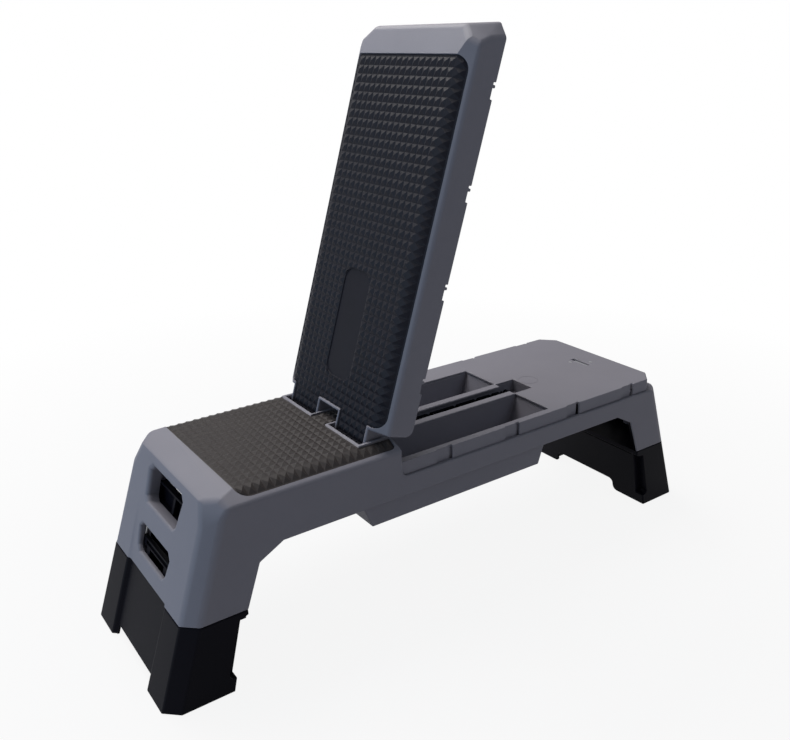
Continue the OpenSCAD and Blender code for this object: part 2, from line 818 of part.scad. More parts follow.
// Moulded bin under the deck: two pockets and the trough of the strut channel
module storage_bin() {
    near = channel_y - channel_hw - rib_w;
    far = channel_y + channel_hw + rib_w;
    low_end = -half_l + pocket_start - bin_wall - 1;
    trough_end = -half_l + notch_end + bin_wall;
    color(grey)
        difference() {
            union() {
                intersection() {
                    side_prism()
                        bin_side_view(0, 0);
                    block(-half_l, half_l, -bin_hw, bin_hw, 0, deck_under_z - 0.2);
                }
                block(-half_l + pocket_end - 20, trough_end, near, far, trough_z - bin_wall, deck_under_z - 0.2);
                bin_flanges();
            }
            block(-half_l, low_end, -half_w, half_w, bin_low_top, bench_h);
            intersection() {
                side_prism()
                    bin_side_view(bin_wall, 1);
                union() {
                    block(-half_l, -half_l + pocket_end + 4, near - pocket_w, near, bin_z + bin_wall, bench_h);
                    block(-half_l, -half_l + pocket_end + 4, far, far + pocket_w, bin_z + bin_wall, bench_h);
                }
            }
            block(-half_l + bin_start - 30, -half_l + notch_end, near + bin_wall, far - bin_wall,
                trough_z, bench_h);
            side_core(far + pocket_w + bin_wall, bin_hw - bin_wall);
            side_core(-bin_hw + bin_wall, near - pocket_w - bin_wall);
            block(-half_l, half_l, near + bin_wall, far - bin_wall, bin_z - 1, trough_z - bin_wall - 2);
            bin_screw_places()
                translate([0, 0, -30])
                    cylinder(r = 2.4, h = 60);
        }
}

// Hollow between a pocket and the side of the bin, open below
module side_core(y0, y1) {
    x0 = -half_l + bin_start + bin_wall;
    x1 = -half_l + bin_end - bin_wall;
    h = deck_under_z - 2 * bin_wall - bin_z;
    intersection() {
        side_prism()
            polygon([[x0, bin_z - 1], [x1, bin_z - 1], [x1, bin_z], [x1 + bin_far_lean * h, bin_z + h],
                [x0 - bin_front_lean * h, bin_z + h], [x0, bin_z]]);
        union() {
            block(-half_l, half_l, y0, y1, 0, bin_low_top - bin_wall);
            block(-half_l + pocket_start, half_l, y0, y1, 0, bench_h);
        }
    }
}

// Screwed flanges at the two ends of the bin
module bin_flanges() {
    block(bin_front_screw_x() - 6, bin_front_screw_x() + 9, -bin_hw + 20, bin_hw - 20,
        bin_low_top - bin_wall, bin_low_top);
    block(bin_far_screw_x() - 9, bin_far_screw_x() + 6, -bin_hw + 20, bin_hw - 20,
        deck_under_z - 0.2 - bin_wall, deck_under_z - 0.2);
}

module bin_screw_places() {
    for (y = bin_screw_ys()) {
        translate([bin_front_screw_x(), y, bin_low_top - bin_wall])
            children();
        translate([bin_far_screw_x(), y, deck_under_z - 0.2 - bin_wall])
            children();
    }
}

// Pan-head screws that hold the bin
module bin_screws() {
    color(steel)
        bin_screw_places() {
            translate([0, 0, -2.5])
                cylinder(r = 4, h = 2.5);
            translate([0, 0, -0.5])
                cylinder(r = 1.9, h = bin_wall + 2.7);
        }
}

// Rubber mat bonded to the seat
module seat_pad() {
    color(rubber)
        difference() {
            crown_layer(0, pad_t - 0.2)
                seat_pad_plan(0);
            finger_rounding();
        }
}

// Black moulded grip behind the hand hold
module carry_grip() {
    z0 = hold_low - 5;
    z1 = hold_low + 32;
    hw = hold_hw + 1;
    color(black)
        on_end_face()
            translate([0, window_y, 0])
                difference() {
                    block(hold_deep, hold_deep + 14, -hw, hw, z0, z1);
                    block(hold_deep - 1, hold_deep + 10, -hw + 4, -4, z0 + 4, z1 - 4);
                    block(hold_deep - 1, hold_deep + 10, 4, hw - 4, z0 + 4, z1 - 4);
                }
}

// Steel rod through the seat fingers and backrest tongues
module hinge_rod() {
    color(steel)
        translate([hinge_x, 0, hinge_z])
            cross_bar(rod_r, -hinge_rod_hl() + 0.5, hinge_rod_hl() - 0.5);
}

// Toothed rack for the foot rod, in the trough under the two ribs
module rack_insert() {
    x0 = foot_rest_x - strut_pin_r - foot_slack;
    x1 = foot_closed_x + 9;
    step = rest_angle / (seat_positions - 1);
    color(black)
        translate([0, channel_y, 0]) {
            difference() {
                union() {
                    block(x0 - 10, x1, -rack_hw, rack_hw, trough_z, trough_z + 3);
                    for (sy = [-1, 1])
                        mirror([0, sy < 0 ? 1 : 0]) {
                            block(x0 - 1, x1, channel_hw, rack_hw, trough_z + 2, rack_tip_z);
                            block(x0 - 10, x0, channel_hw, rack_hw, trough_z + 2, deck_under_z - 1);
                        }
                }
                for (i = [0:seat_positions - 1])
                    translate([foot_x(i * step), 0, rack_tip_z + 1])
                        cross_bar(strut_pin_r + 0.5, -rack_hw - 1, rack_hw + 1);
            }
        }
}

// Steel plate that the lid catch snaps through, under the deck
module catch_plate() {
    color(steel)
        difference() {
            block(catch_x() - 24, catch_x() + 24, catch_y - 27, catch_y + 27, deck_under_z - 2, deck_under_z);
            block(catch_x() - catch_slot_w / 2, catch_x() + catch_slot_w / 2,
                catch_y - catch_slot_l / 2, catch_y + catch_slot_l / 2, deck_under_z - 3, deck_under_z + 1);
            catch_screw_places()
                countersink(1.7);
        }
}

module catch_screws() {
    color(steel)
        catch_screw_places() {
            translate([0, 0, -wall - 5])
                cylinder(r = 1.6, h = wall + 4);
            translate([0, 0, -1.9])
                cylinder(r1 = 1.8, r2 = 3.6, h = 1.8);
        }
}

// Side view of the closed backrest, its low corner rounded
module backrest_side_view() {
    r = ledge_fillet + 1;
    z0 = ledge_z + 0.5;
    difference() {
        translate([lid_start_x, z0])
            square([half_l - lid_start_x, bench_h - z0]);
        difference() {
            translate([lid_start_x - 1, z0 - 1])
                square(r + 1);
            translate([lid_start_x + r, z0 + r])
                circle(r = r);
        }
    }
}

// One tongue of the backrest, drawn in side view
module tongue_side_view() {
    translate([hinge_x, hinge_z - tongue_deep])
        square([finger_r + lid_gap + wall, tongue_deep + hinge_drop]);
    translate([hinge_x - tongue_end, hinge_z - tongue_deep])
        square([tongue_end + 1, tongue_deep + hinge_drop]);
}

// Both tongues of the backrest
module tongues() {
    for (sy = [-1, 1])
        mirror([0, sy < 0 ? 1 : 0])
            intersection() {
                side_prism()
                    tongue_side_view();
                block(-half_l, half_l, mid_finger_hw + hinge_gap, side_finger_y - hinge_gap, 0, bench_h);
            }
}

// Hollow moulded backrest, drawn closed
module closed_backrest() {
    deck_clear_z = deck_z + 1;
    difference() {
        union() {
            difference() {
                intersection() {
                    bench_form(0, 0, ledge_z);
                    side_prism()
                        backrest_side_view();
                }
                intersection() {
                    bench_form(wall, crown_deep, ledge_z - 1);
                    block(lid_start_x + wall, half_l, -half_w, half_w, 0, bench_h);
                }
                intersection() {
                    envelope(wall, ledge_z - 1, deck_clear_z);
                    block(lid_start_x - 1, half_l, -half_w, half_w, 0, deck_clear_z);
                }
            }
            tongues();
            backrest_ribs();
        }
        crown_layer(-1, pad_t)
            backrest_pad_plan(pad_gap);
        tongue_cores();
        bracket_screw_places()
            cylinder(r = 2.1, h = 6.4);
        translate([hinge_x, 0, hinge_z])
            bush_places()
                cross_bar(rod_r + bush_t + run_fit, -0.1, bush_l);
        translate([hinge_x, 0, hinge_z])
            cross_bar(rod_r + 1, -half_w, half_w);
        for (i = [0:3], sy = [-1, 1])
            mirror([0, sy < 0 ? 1 : 0])
                skirt_notch(-half_l + rim_slot_start + i * rim_slot_pitch);
    }
}

// Hollow under each tongue, beside the hinge bushes
module tongue_cores() {
    y0 = mid_finger_hw + hinge_gap + bush_l + 2;
    y1 = side_finger_y - hinge_gap - bush_l - 2;
    for (sy = [-1, 1])
        mirror([0, sy < 0 ? 1 : 0])
            block(hinge_x + rod_r + 4, lid_start_x + wall + 1, y0, y1,
                hinge_z - tongue_deep - 1, lid_under_z);
}

// Places children at the outer end of each hinge bush, pointing into its tongue
module bush_places() {
    for (sy = [-1, 1])
        mirror([0, sy < 0 ? 1 : 0]) {
            translate([0, mid_finger_hw + hinge_gap, 0])
                children();
            translate([0, side_finger_y - hinge_gap, 0])
                mirror([0, 1, 0])
                    children();
        }
}

// Stiffening ribs inside the backrest, clear of the strut and the catch
module backrest_ribs() {
    z0 = deck_z + 4;
    gap = 40;
    intersection() {
        bench_form(wall / 2, crown_deep - 1, ledge_z);
        union() {
            for (x = [lid_start_x + 90:110:half_l - 150], sy = [-1, 1])
                mirror([0, sy < 0 ? 1 : 0])
                    block(x, x + 3, gap + 12, half_w, z0, bench_h);
            for (sy = [-1, 1])
                mirror([0, sy < 0 ? 1 : 0])
                    block(lid_start_x + 1, half_l, gap + 9, gap + 12, z0, bench_h);
        }
    }
}

// One notch in the skirt, over a rim recess
module skirt_notch(x) {
    y = side_y(ledge_z);
    block(x + 1, x + rim_slot_l - 10, y - 9, y + 5, ledge_z - 1, ledge_z + 5);
    block(x + rim_slot_l - 5, x + rim_slot_l - 1, y - 9, y + 5, ledge_z - 1, ledge_z + 5);
}

module backrest_shell() {
    color(grey)
        on_backrest()
            closed_backrest();
}

// Rubber mat bonded to the backrest, with a smooth sunk oblong
module backrest_pad() {
    x = -half_l + oblong_from_end;
    color(rubber)
        on_backrest()
            difference() {
                crown_layer(0, pad_t - 0.2)
                    backrest_pad_plan(0);
                translate([x, -oblong_w / 2, bench_h - oblong_deep])
                    rounded_plate(oblong_l, oblong_w, 22, oblong_deep + 1);
            }
}

// A plate with round corners
module rounded_plate(l, w, r, t) {
    linear_extrude(height = t) {
        translate([r, 0])
            square([l - 2 * r, w]);
        translate([0, r])
            square([l, w - 2 * r]);
        for (x = [r, l - r], y = [r, w - r])
            translate([x, y])
                circle(r = r);
    }
}

module hinge_bushes() {
    color(black)
        translate([hinge_x, 0, hinge_z])
            bush_places()
                difference() {
                    cross_bar(rod_r + bush_t, 0, bush_l - 0.5);
                    cross_bar(rod_r + run_fit, -1, bush_l);
                }
}

// Strut pivot in the closed backrest
function strut_pivot_closed() = [hinge_x + strut_pivot, channel_y, hinge_z - strut_pivot_drop];

// Steel bracket screwed under the backrest, with two lugs for the strut pin
module strut_bracket() {
    p = strut_pivot_closed();
    lug_in = strut_w / 2 + 0.5;
    color(steel)
        on_backrest()
            difference() {
                union() {
                    block(p[0] - 26, p[0] + 26, p[1] - lug_in - 3, p[1] + lug_in + 3,
                        lid_under_z - 3, lid_under_z);
                    for (sy = [-1, 1])
                        translate([p[0], p[1], p[2]])
                            mirror([0, sy < 0 ? 1 : 0]) {
                                cross_bar(8, lug_in, lug_in + 3);
                                block(-8, 8, lug_in, lug_in + 3, 0, lid_under_z - p[2] - 1);
                            }
                }
                translate([p[0], p[1], p[2]])
                    cross_bar(strut_pin_r + run_fit, -40, 40);
                bracket_screw_places()
                    cylinder(r = 2.2, h = 20, center = true);
            }
}

module bracket_screw_places() {
    p = strut_pivot_closed();
    for (sx = [-1, 1])
        translate([p[0] + sx * 19, p[1], lid_under_z - 3])
            children();
}

// Pan-head screws of the strut bracket
module bracket_screws() {
    color(steel)
        on_backrest()
            bracket_screw_places() {
                translate([0, 0, -2.2])
                    cylinder(r = 4, h = 2.2);
                translate([0, 0, -0.5])
                    cylinder(r = 2, h = 6.4);
            }
}

// Pin that the strut swings on
module strut_pin() {
    p = strut_pivot_closed();
    hl = strut_w / 2 + 3.5;
    color(steel)
        on_backrest()
            translate([p[0], p[1], p[2]]) {
                cross_bar(strut_pin_r, -hl, hl + 1.5);
                cross_bar(strut_pin_r + 2, -hl - 2, -hl);
            }
}

// Hook under the backrest that snaps into the deck
module lid_catch() {
    hw = catch_slot_l / 2 - 4;
    color(black)
        on_backrest()
            translate([catch_x(), catch_y, 0]) {
                block(-2, 2, -hw, hw, deck_under_z - 8, lid_under_z);
                block(-12, 2, -hw, hw, lid_under_z - 4, lid_under_z);
                side_wedge(-hw, hw);
            }
}

// The barb of the hook
module side_wedge(y0, y1) {
    z = deck_under_z - 3;
    translate([0, y1, 0])
        rotate([90, 0, 0])
            linear_extrude(height = y1 - y0)
                polygon([[1, z], [4, z], [1, z - 5]]);
}

// Prop strut: an I-section arm with an eye at each end
module prop_strut() {
    p = strut_pivot_rest;
    eye_r = 8;
    foot_r = 6.5;
    hw = strut_w / 2;
    color(black)
        translate([hinge_x + p[0], channel_y, hinge_z + p[1]])
            rotate([0, -strut_rest_angle, 0])
                difference() {
                    union() {
                        cross_bar(eye_r, -hw, hw);
                        translate([strut_l, 0, 0])
                            cross_bar(foot_r, -hw, hw);
                        rotate([90, 0, 0])
                            linear_extrude(height = strut_w, center = true)
                                polygon([[0, -eye_r + 0.5], [strut_l, -foot_r + 0.5],
                                    [strut_l, foot_r - 0.5], [0, eye_r - 0.5]]);
                    }
                    cross_bar(strut_pin_r + run_fit, -hw - 1, hw + 1);
                    translate([strut_l, 0, 0])
                        cross_bar(strut_pin_r + run_fit, -hw - 1, hw + 1);
                    for (sy = [-1, 1], i = [0:3])
                        mirror([0, sy < 0 ? 1 : 0])
                            block(16 + i * (strut_l - 28) / 4, 10 + (i + 1) * (strut_l - 28) / 4,
                                2.5, hw + 1, -4, 4);
                }
}

// Steel rod that rests on the rack teeth
module strut_foot_rod() {
    color(steel)
        translate([foot_rest_x, channel_y, foot_z])
            cross_bar(strut_pin_r, -foot_rod_l / 2, foot_rod_l / 2);
}

// Side view of a leg below the seam, at the seat end
module leg_side_view(inset) {
    top = seam_z - seam_gap - inset;
    slope = (leg_in_high - leg_in_low) / (seam_z - collar_h - 2);
    polygon([[-half_l - 1, sole_z], [-half_l + leg_in_low + slope * sole_z - inset, sole_z],
        [-half_l + leg_in_high - inset, seam_z - collar_h - 2 - inset],
        [-half_l + stub_in_low - inset, seam_z - collar_h - inset],
        [-half_l + stub_in_low - inset, top], [-half_l - 1, top]]);
}

// The sunk middle of a leg's end face, or the space kept behind it
module leg_sinking(deep, hw, z0) {
    translate([0, 0, z0])
        linear_extrude(height = 200)
            polygon([[-1, hw + deep + 1], [deep, hw], [deep, -hw], [-1, -hw - deep - 1]]);
}

// The arch under the inner face of a leg, with flared feet
module arch_view() {
    r = 12;
    top_r = 10;
    hw = leg_arch_hw;
    difference() {
        union() {
            translate([-hw, -1])
                square([2 * hw, leg_arch_z - top_r + 1]);
            translate([-hw + top_r, 0])
                square([2 * (hw - top_r), leg_arch_z]);
            for (s = [-1, 1])
                translate([s * (hw - top_r), leg_arch_z - top_r])
                    circle(r = top_r);
            for (s = [-1, 1])
                translate([s * (hw + r / 2), (sole_z + r) / 2 - 1])
                    square([r, sole_z + r + 2], center = true);
        }
        for (s = [-1, 1])
            translate([s * (hw + r), sole_z + r])
                circle(r = r);
    }
}

// Everything of a leg above the seam: cheeks, pin bosses and the end tongue
module leg_top() {
    cheek_out = side_y(leg_pivot_z) - wall - 5.2;
    px = -half_l + leg_pivot_from_end;
    for (sy = [-1, 1])
        mirror([0, sy < 0 ? 1 : 0]) {
            translate([px, 0, leg_pivot_z])
                cross_bar(leg_pin_r + 8, cheek_out - cheek_t, cheek_out);
            translate([0, cheek_out, 0])
                rotate([90, 0, 0])
                    linear_extrude(height = cheek_t)
                        polygon([[-half_l + 76, seam_z - 5], [-half_l + stub_in_low - 3, seam_z - 5],
                            [px + leg_pin_r + 7.5, leg_pivot_z - 4], [px - leg_pin_r - 7, leg_pivot_z + 3],
                            [-half_l + 84, seam_z + 32]]);
        }
    on_end_face() {
        block(tongue_x, tongue_x + leg_wall, -58, 58, seam_z - 1, leg_tongue_top);
    }
}

// Black folding leg, drawn at the seat end
module leg() {
    px = -half_l + leg_pivot_from_end;
    color(black)
        difference() {
            union() {
                difference() {
                    intersection() {
                        envelope(0, 0, seam_z);
                        side_prism()
                            leg_side_view(0);
                    }
                    intersection() {
                        envelope(leg_wall, -1, seam_z);
                        side_prism()
                            translate([0, -0.01])
                                leg_side_view(leg_wall);
                        leg_core();
                    }
                    on_end_face() {
                        leg_sinking(leg_sunk, leg_sunk_hw, -20);
                        block(-1, leg_sunk + leg_wall + 1, -leg_sunk_hw + 1, leg_sunk_hw - 1, -20, leg_cut_z);
                    }
                    intersection() {
                        end_prism()
                            arch_view();
                        block(-half_l + leg_sunk + leg_wall + 8, -half_l + 170, -half_w, half_w, -1, seam_z);
                    }
                    leg_corner_recesses(0);
                    foot_places()
                        foot_block(0.3);
                }
                leg_top();
            }
            translate([px, 0, leg_pivot_z])
                cross_bar(leg_pin_r + run_fit, -half_w, half_w);
        }
}

// Hollow of a leg, in three bays with a sole block at each corner
module leg_core() {
    difference() {
        block(-half_l, -half_l + 160, -half_w, half_w, 0, seam_z);
        on_end_face()
            leg_sinking(leg_sunk + leg_wall, leg_sunk_hw + 2, -20);
        for (sy = [-1, 1])
            mirror([0, sy < 0 ? 1 : 0]) {
                block(-half_l, -half_l + 160, leg_sunk_hw + 22, half_w, 0, 12);
                block(-half_l, -half_l + 160, 40, 43, leg_arch_z + 2, seam_z);
            }
        leg_corner_recesses(leg_wall - 0.5);
    }
}

// Recesses down the two inner corners of a leg, which can be grown
module leg_corner_recesses(grow) {
    slope = (leg_in_high - leg_in_low) / (seam_z - collar_h - 2);
    r = leg_notch_x / 2;
    z0 = leg_notch_z - grow;
    z1 = seam_z - collar_h - 3 + grow;
    x0 = -half_l + leg_in_low + slope * z0 - leg_notch_x - grow;
    x1 = -half_l + leg_in_low + slope * z1 - leg_notch_x - grow;
    for (sy = [-1, 1])
        mirror([0, sy < 0 ? 1 : 0])
            translate([0, half_w + 1, 0])
                rotate([90, 0, 0])
                    linear_extrude(height = leg_notch_y + 6 + grow)
                        difference() {
                            polygon([[x0, z0], [x0 + 80, z0], [x0 + 80, z1], [x1, z1]]);
                            difference() {
                                translate([x0 - 1, z0 - 1])
                                    square([r + 1, r + 1]);
                                translate([x0 + r + 1, z0 + r])
                                    circle(r = r);
                            }
                        }
}

// Places children at the corner of each of the four feet of a leg
module foot_places() {
    for (sy = [-1, 1], x = [-half_l + 20, -half_l + leg_in_low - foot_l - 14])
        mirror([0, sy < 0 ? 1 : 0])
            translate([x, leg_sunk_hw + 26, 0])
                children();
}

// One rubber foot, which can be grown into its seat in the sole
module foot_block(grow) {
    w = half_w - leg_sunk_hw - 26 - corner_y + 6;
    translate([-grow, -grow, 0])
        rounded_plate(foot_l + 2 * grow, w + 2 * grow, 6 + grow, rubber_t);
}

// Rubber feet under the four corners of a leg
module leg_feet() {
    color(rubber)
        foot_places()
            foot_block(0);
}

// Headed pins that a leg folds on
module leg_pins() {
    boss_in = side_y(leg_pivot_z) - wall - 4.8;
    cheek_in = side_y(leg_pivot_z) - wall - 5.2 - cheek_t;
    color(steel)
        for (sy = [-1, 1])
            mirror([0, sy < 0 ? 1 : 0])
                translate([-half_l + leg_pivot_from_end, 0, leg_pivot_z]) {
                    cross_bar(leg_pin_r, cheek_in - 1, boss_in + 3.6);
                    cross_bar(leg_pin_r + 4, cheek_in - 4.3, cheek_in - 0.3);
                }
}

// Latch bar behind the low window, with two fingers that hold the leg
module leg_latch() {
    color(black)
        on_end_face()
            difference() {
                union() {
                    block(latch_x, latch_x + latch_t, -latch_bar_hw, latch_bar_hw,
                        latch_bar_z, latch_bar_z + latch_bar_h);
                    for (y = [-44, 30])
                        block(latch_x, latch_x + 4.5, y, y + 14, leg_tongue_top - 9, latch_bar_z + 1);
                }
                block(latch_x - 1, latch_x + 4, -50, 50, latch_bar_z + 3, latch_bar_z + latch_bar_h - 3);
            }
}

// Springs that push a latch down, in its guides
module latch_springs() {
    color(steel)
        on_end_face()
            for (sy = [-1, 1])
                mirror([0, sy < 0 ? 1 : 0])
                    translate([latch_x + latch_t / 2, latch_bar_hw - 5, latch_bar_z + latch_bar_h + 0.3])
                        difference() {
                            cylinder(r = 3.4, h = spring_top - latch_bar_z - latch_bar_h - 0.6);
                            translate([0, 0, -1])
                                cylinder(r = 2.4, h = spring_top - latch_bar_z);
                        }
}

module front_leg() {
    leg();
}

module rear_leg() {
    mirror([1, 0, 0])
        leg();
}

module front_leg_feet() {
    leg_feet();
}

module rear_leg_feet() {
    mirror([1, 0, 0])
        leg_feet();
}

module front_leg_pins() {
    leg_pins();
}

module rear_leg_pins() {
    mirror([1, 0, 0])
        leg_pins();
}

module front_leg_latch() {
    leg_latch();
}

module rear_leg_latch() {
    mirror([1, 0, 0])
        leg_latch();
}

module front_latch_springs() {
    latch_springs();
}

module rear_latch_springs() {
    mirror([1, 0, 0])
        latch_springs();
}

base_shell();
deck_tray();
storage_bin();
bin_screws();
seat_pad();
carry_grip();
hinge_rod();
rack_insert();
catch_plate();
catch_screws();
backrest_shell();
backrest_pad();
hinge_bushes();
strut_bracket();
bracket_screws();
strut_pin();
lid_catch();
prop_strut();
strut_foot_rod();
front_leg();
front_leg_feet();
front_leg_pins();
front_leg_latch();
front_latch_springs();
rear_leg();
rear_leg_feet();
rear_leg_pins();
rear_leg_latch();
rear_latch_springs();
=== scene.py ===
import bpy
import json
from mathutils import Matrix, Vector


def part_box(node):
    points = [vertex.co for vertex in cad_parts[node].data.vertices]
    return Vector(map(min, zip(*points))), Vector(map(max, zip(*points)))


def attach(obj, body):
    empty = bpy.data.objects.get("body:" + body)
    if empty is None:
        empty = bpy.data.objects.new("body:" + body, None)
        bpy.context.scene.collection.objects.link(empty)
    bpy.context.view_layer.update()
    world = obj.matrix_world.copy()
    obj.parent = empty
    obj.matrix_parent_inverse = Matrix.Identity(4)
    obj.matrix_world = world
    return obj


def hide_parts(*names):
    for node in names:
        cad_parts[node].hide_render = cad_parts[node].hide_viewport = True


bl_info = {
    "name": "Folding Weight Bench",
    "version": (1, 0, 0),
    "blender": (4, 5, 0),
    "location": "3D View > Sidebar > Bench",
    "description": "Rounds the mouldings, models the studded rubber mats and gives each piece its finish",
    "category": "Object",
}

import json
import math

import bpy
from mathutils import Matrix, Vector

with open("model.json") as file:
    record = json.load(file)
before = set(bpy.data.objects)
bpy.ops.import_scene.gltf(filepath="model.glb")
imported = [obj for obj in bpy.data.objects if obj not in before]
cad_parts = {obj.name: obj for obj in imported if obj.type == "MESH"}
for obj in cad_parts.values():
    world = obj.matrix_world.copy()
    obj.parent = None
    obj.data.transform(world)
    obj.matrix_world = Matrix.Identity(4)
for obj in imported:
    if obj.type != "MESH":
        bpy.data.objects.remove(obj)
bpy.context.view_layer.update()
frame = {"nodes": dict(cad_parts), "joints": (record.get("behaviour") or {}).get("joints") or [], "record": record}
NODES = frame["nodes"]
BODIES = frame["record"]["behaviour"]["bodies"]
BODY_OF = {node: body for body, nodes in BODIES.items() for node in nodes}
HINGE = next(joint for joint in frame["joints"] if joint["name"] == "backrest_hinge")
HINGE_AT = Vector(HINGE["pos_m"])
REST_ANGLE = -math.radians(HINGE["range_deg"][0])

# The mats with the backrest closed, in metres
SEAT_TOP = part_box("seat_pad")[1][2]
MAT_HALF_WIDTH = 0.153
MAT_CORNER_RADIUS = 0.016
MAT_EDGE_RADIUS = 0.0012
# The top is flat in the middle and slopes down to both sides
FLAT_HALF_WIDTH = 0.131
CROWN_SLOPE = 0.574
# The seat mat's three fingers interleave with the backrest mat's two tongues
FINGER_ROOT = HINGE_AT.x - 0.0315
OUTER_FINGER_INSIDE = 0.1315
MIDDLE_FINGER_HALF_WIDTH = 0.0235
TONGUE_TIP = HINGE_AT.x - 0.0241
TONGUE_INSIDE, TONGUE_OUTSIDE = 0.040, 0.115
BACKREST_MAT_FRONT, BACKREST_MAT_FAR = -0.148, 0.447
# The smooth oblong on the backrest mat
OBLONG_FRONT, OBLONG_FAR, OBLONG_HALF_WIDTH = -0.103, 0.091, 0.039
OBLONG_CORNER_RADIUS = 0.024
# The slab under the studs, and how far below the top a vertex still belongs to the top
STUD_BASE_DEPTH = 0.003
TOP_SKIN = 0.0025
# The blocks that trim the studs reach from below to above the mats, and run into each other
CUTTER_BOTTOM, CUTTER_TOP = 0.25, 0.4
FINGER_OVERLAP, TONGUE_OVERLAP = 0.02, 0.03

# Edge radii in metres, widest first: an edge takes the first one that it has room for
FINER_SHELL_RADII = (0.005, 0.003, 0.0016, 0.0008, 0.0004)
DECK_RADII = (0.003, 0.002, 0.001, 0.0005)
BIN_RADII = (0.003, 0.0015, 0.0007)
LEG_RADII = (0.003, 0.0016, 0.0008, 0.0004)
BAR_RADII = (0.001, 0.0005)
SMALL_RADII = (0.0006, 0.0003)
FOOT_RADII = (0.0006,)
# Inner corners stay tight, so that a rounded hollow can't touch the piece that closes into it
INNER_RADIUS = 0.0016

# What tells edges apart, in metres and degrees
MERGE_DISTANCE = 0.00001
FLAT_ANGLE = 0.6
SHARP_ANGLE = 30
SMOOTH_ANGLE = 38
MAT_SHARP_ANGLE = 50
RUNS_ON_ANGLE = 140
FLAT_CORNER_ANGLE = 170
# How the room for a bevel is measured, and how often a folded bevel is made narrower
PROBE_SPACING = 0.015
FEWEST_PROBES, MOST_PROBES = 3, 40
ROOM_MARGIN = 1.04
FOLD_MARGIN = 1.01
BEVEL_TRIES = 8

GREY_ABS = "grey ABS moulding"
BLACK_ABS = "black ABS moulding"
# The two mats are one rubber in two copies. The seat mat's copy has painted top light and sheen, so it is lighter
# and warmer
SEAT_RUBBER_PAINTED_LIGHT = "seat mat rubber, painted top light"
# The backrest mat's copy has painted shade, so it is darker and bluer
BACKREST_RUBBER_PAINTED_SHADE = "backrest mat rubber, painted shade"
FOOT_RUBBER = "rubber foot"
ZINC_PLATE = "zinc plated steel"
WHITE = (1.0, 1.0, 1.0, 1.0)

# The photo's camera: its place in metres, its direction in degrees, its lens in millimetres
CAMERA_AT = (-0.8846, -1.1800, 0.9519)
CAMERA_AZIMUTH, CAMERA_ELEVATION, CAMERA_ROLL = -35.1208, 21.2866, -0.5679
CAMERA_LENS = 38.47
SENSOR_WIDTH = 36.0


# Small helpers

def hex_linear(text):
    """Turns an sRGB hex colour into the linear RGBA that a shader takes."""
    parts = [int(text[i:i + 2], 16) / 255 for i in (1, 3, 5)]
    return tuple(c / 12.92 if c <= 0.04045 else ((c + 0.055) / 1.055) ** 2.4 for c in parts) + (1.0,)


def add_node(tree, kind, settings=None, links=None):
    """Adds a shader node, sets its options and socket values, and links its inputs."""
    node = tree.nodes.new(kind)
    for key, value in (settings or {}).items():
        if isinstance(key, str) and hasattr(node, key) and key not in node.inputs:
            setattr(node, key, value)
        else:
            node.inputs[key].default_value = value
    for key, socket in (links or {}).items():
        tree.links.new(socket, node.inputs[key])
    return node


def new_material(name):
    """An empty node material, and its node tree."""
    material = bpy.data.materials.new(name)
    material.use_nodes = True
    material.node_tree.nodes.clear()
    return material, material.node_tree


def deselect_all():
    """Leaves edit mode and deselects every object."""
    if bpy.context.object and bpy.context.object.mode != "OBJECT":
        bpy.ops.object.mode_set(mode="OBJECT")
    bpy.ops.object.select_all(action="DESELECT")


def activate(obj):
    """Selects obj alone and makes it the active object."""
    deselect_all()
    obj.select_set(True)
    bpy.context.view_layer.objects.active = obj


def edit(obj, mode="VERT"):
    """Opens obj in edit mode with nothing selected."""
    activate(obj)
    bpy.ops.object.mode_set(mode="EDIT")
    bpy.ops.mesh.select_mode(type=mode)
    bpy.ops.mesh.select_all(action="DESELECT")


def pick_vertices(obj, test):
    """In edit mode, selects the vertices whose place passes the test."""
    bpy.ops.object.mode_set(mode="OBJECT")
    for vertex in obj.data.vertices:
        vertex.select = test(vertex.co)
    bpy.ops.object.mode_set(mode="EDIT")
    bpy.ops.mesh.select_mode(type="VERT")


def pick_edges(obj, test):
    """In edit mode, selects the edges whose middle and direction pass the test."""
    bpy.ops.object.mode_set(mode="OBJECT")
    mesh = obj.data
    for items in (mesh.vertices, mesh.polygons):
        items.foreach_set("select", [False] * len(items))
    for edge in mesh.edges:
        a, b = (mesh.vertices[i].co for i in edge.vertices)
        edge.select = test((a + b) / 2, b - a)
    bpy.ops.object.mode_set(mode="EDIT")
    bpy.ops.mesh.select_mode(type="EDGE")


def apply_modifier(obj, kind, **settings):
    """Puts a modifier on obj and applies it."""
    activate(obj)
    modifier = obj.modifiers.new(kind.title(), kind)
    for key, value in settings.items():
        setattr(modifier, key, value)
    bpy.ops.object.modifier_apply(modifier=modifier.name)


def box_piece(name, low, high):
    """A cube primitive stretched between two corners, its place kept in its mesh."""
    deselect_all()
    bpy.ops.mesh.primitive_cube_add(size=1)
    obj = bpy.context.object
    obj.name = name
    low, high = Vector(low), Vector(high)
    obj.scale = high - low
    obj.location = (low + high) / 2
    bpy.ops.object.transform_apply(location=True, rotation=True, scale=True)
    return obj


def combine(obj, other, operation):
    """Joins, cuts or trims obj by other, which is used up."""
    apply_modifier(obj, "BOOLEAN", operation=operation, solver="EXACT", object=other)
    bpy.data.objects.remove(other, do_unlink=True)


def cad_copy(node, name):
    """A copy of a CAD node with a mesh of its own, merged and freed of needless edges."""
    obj = bpy.data.objects.new(name, NODES[node].data.copy())
    bpy.context.collection.objects.link(obj)
    obj.data.materials.clear()
    edit(obj)
    bpy.ops.mesh.select_all(action="SELECT")
    bpy.ops.mesh.remove_doubles(threshold=MERGE_DISTANCE)
    bpy.ops.mesh.dissolve_limited(angle_limit=math.radians(FLAT_ANGLE))
    bpy.ops.object.mode_set(mode="OBJECT")
    return obj


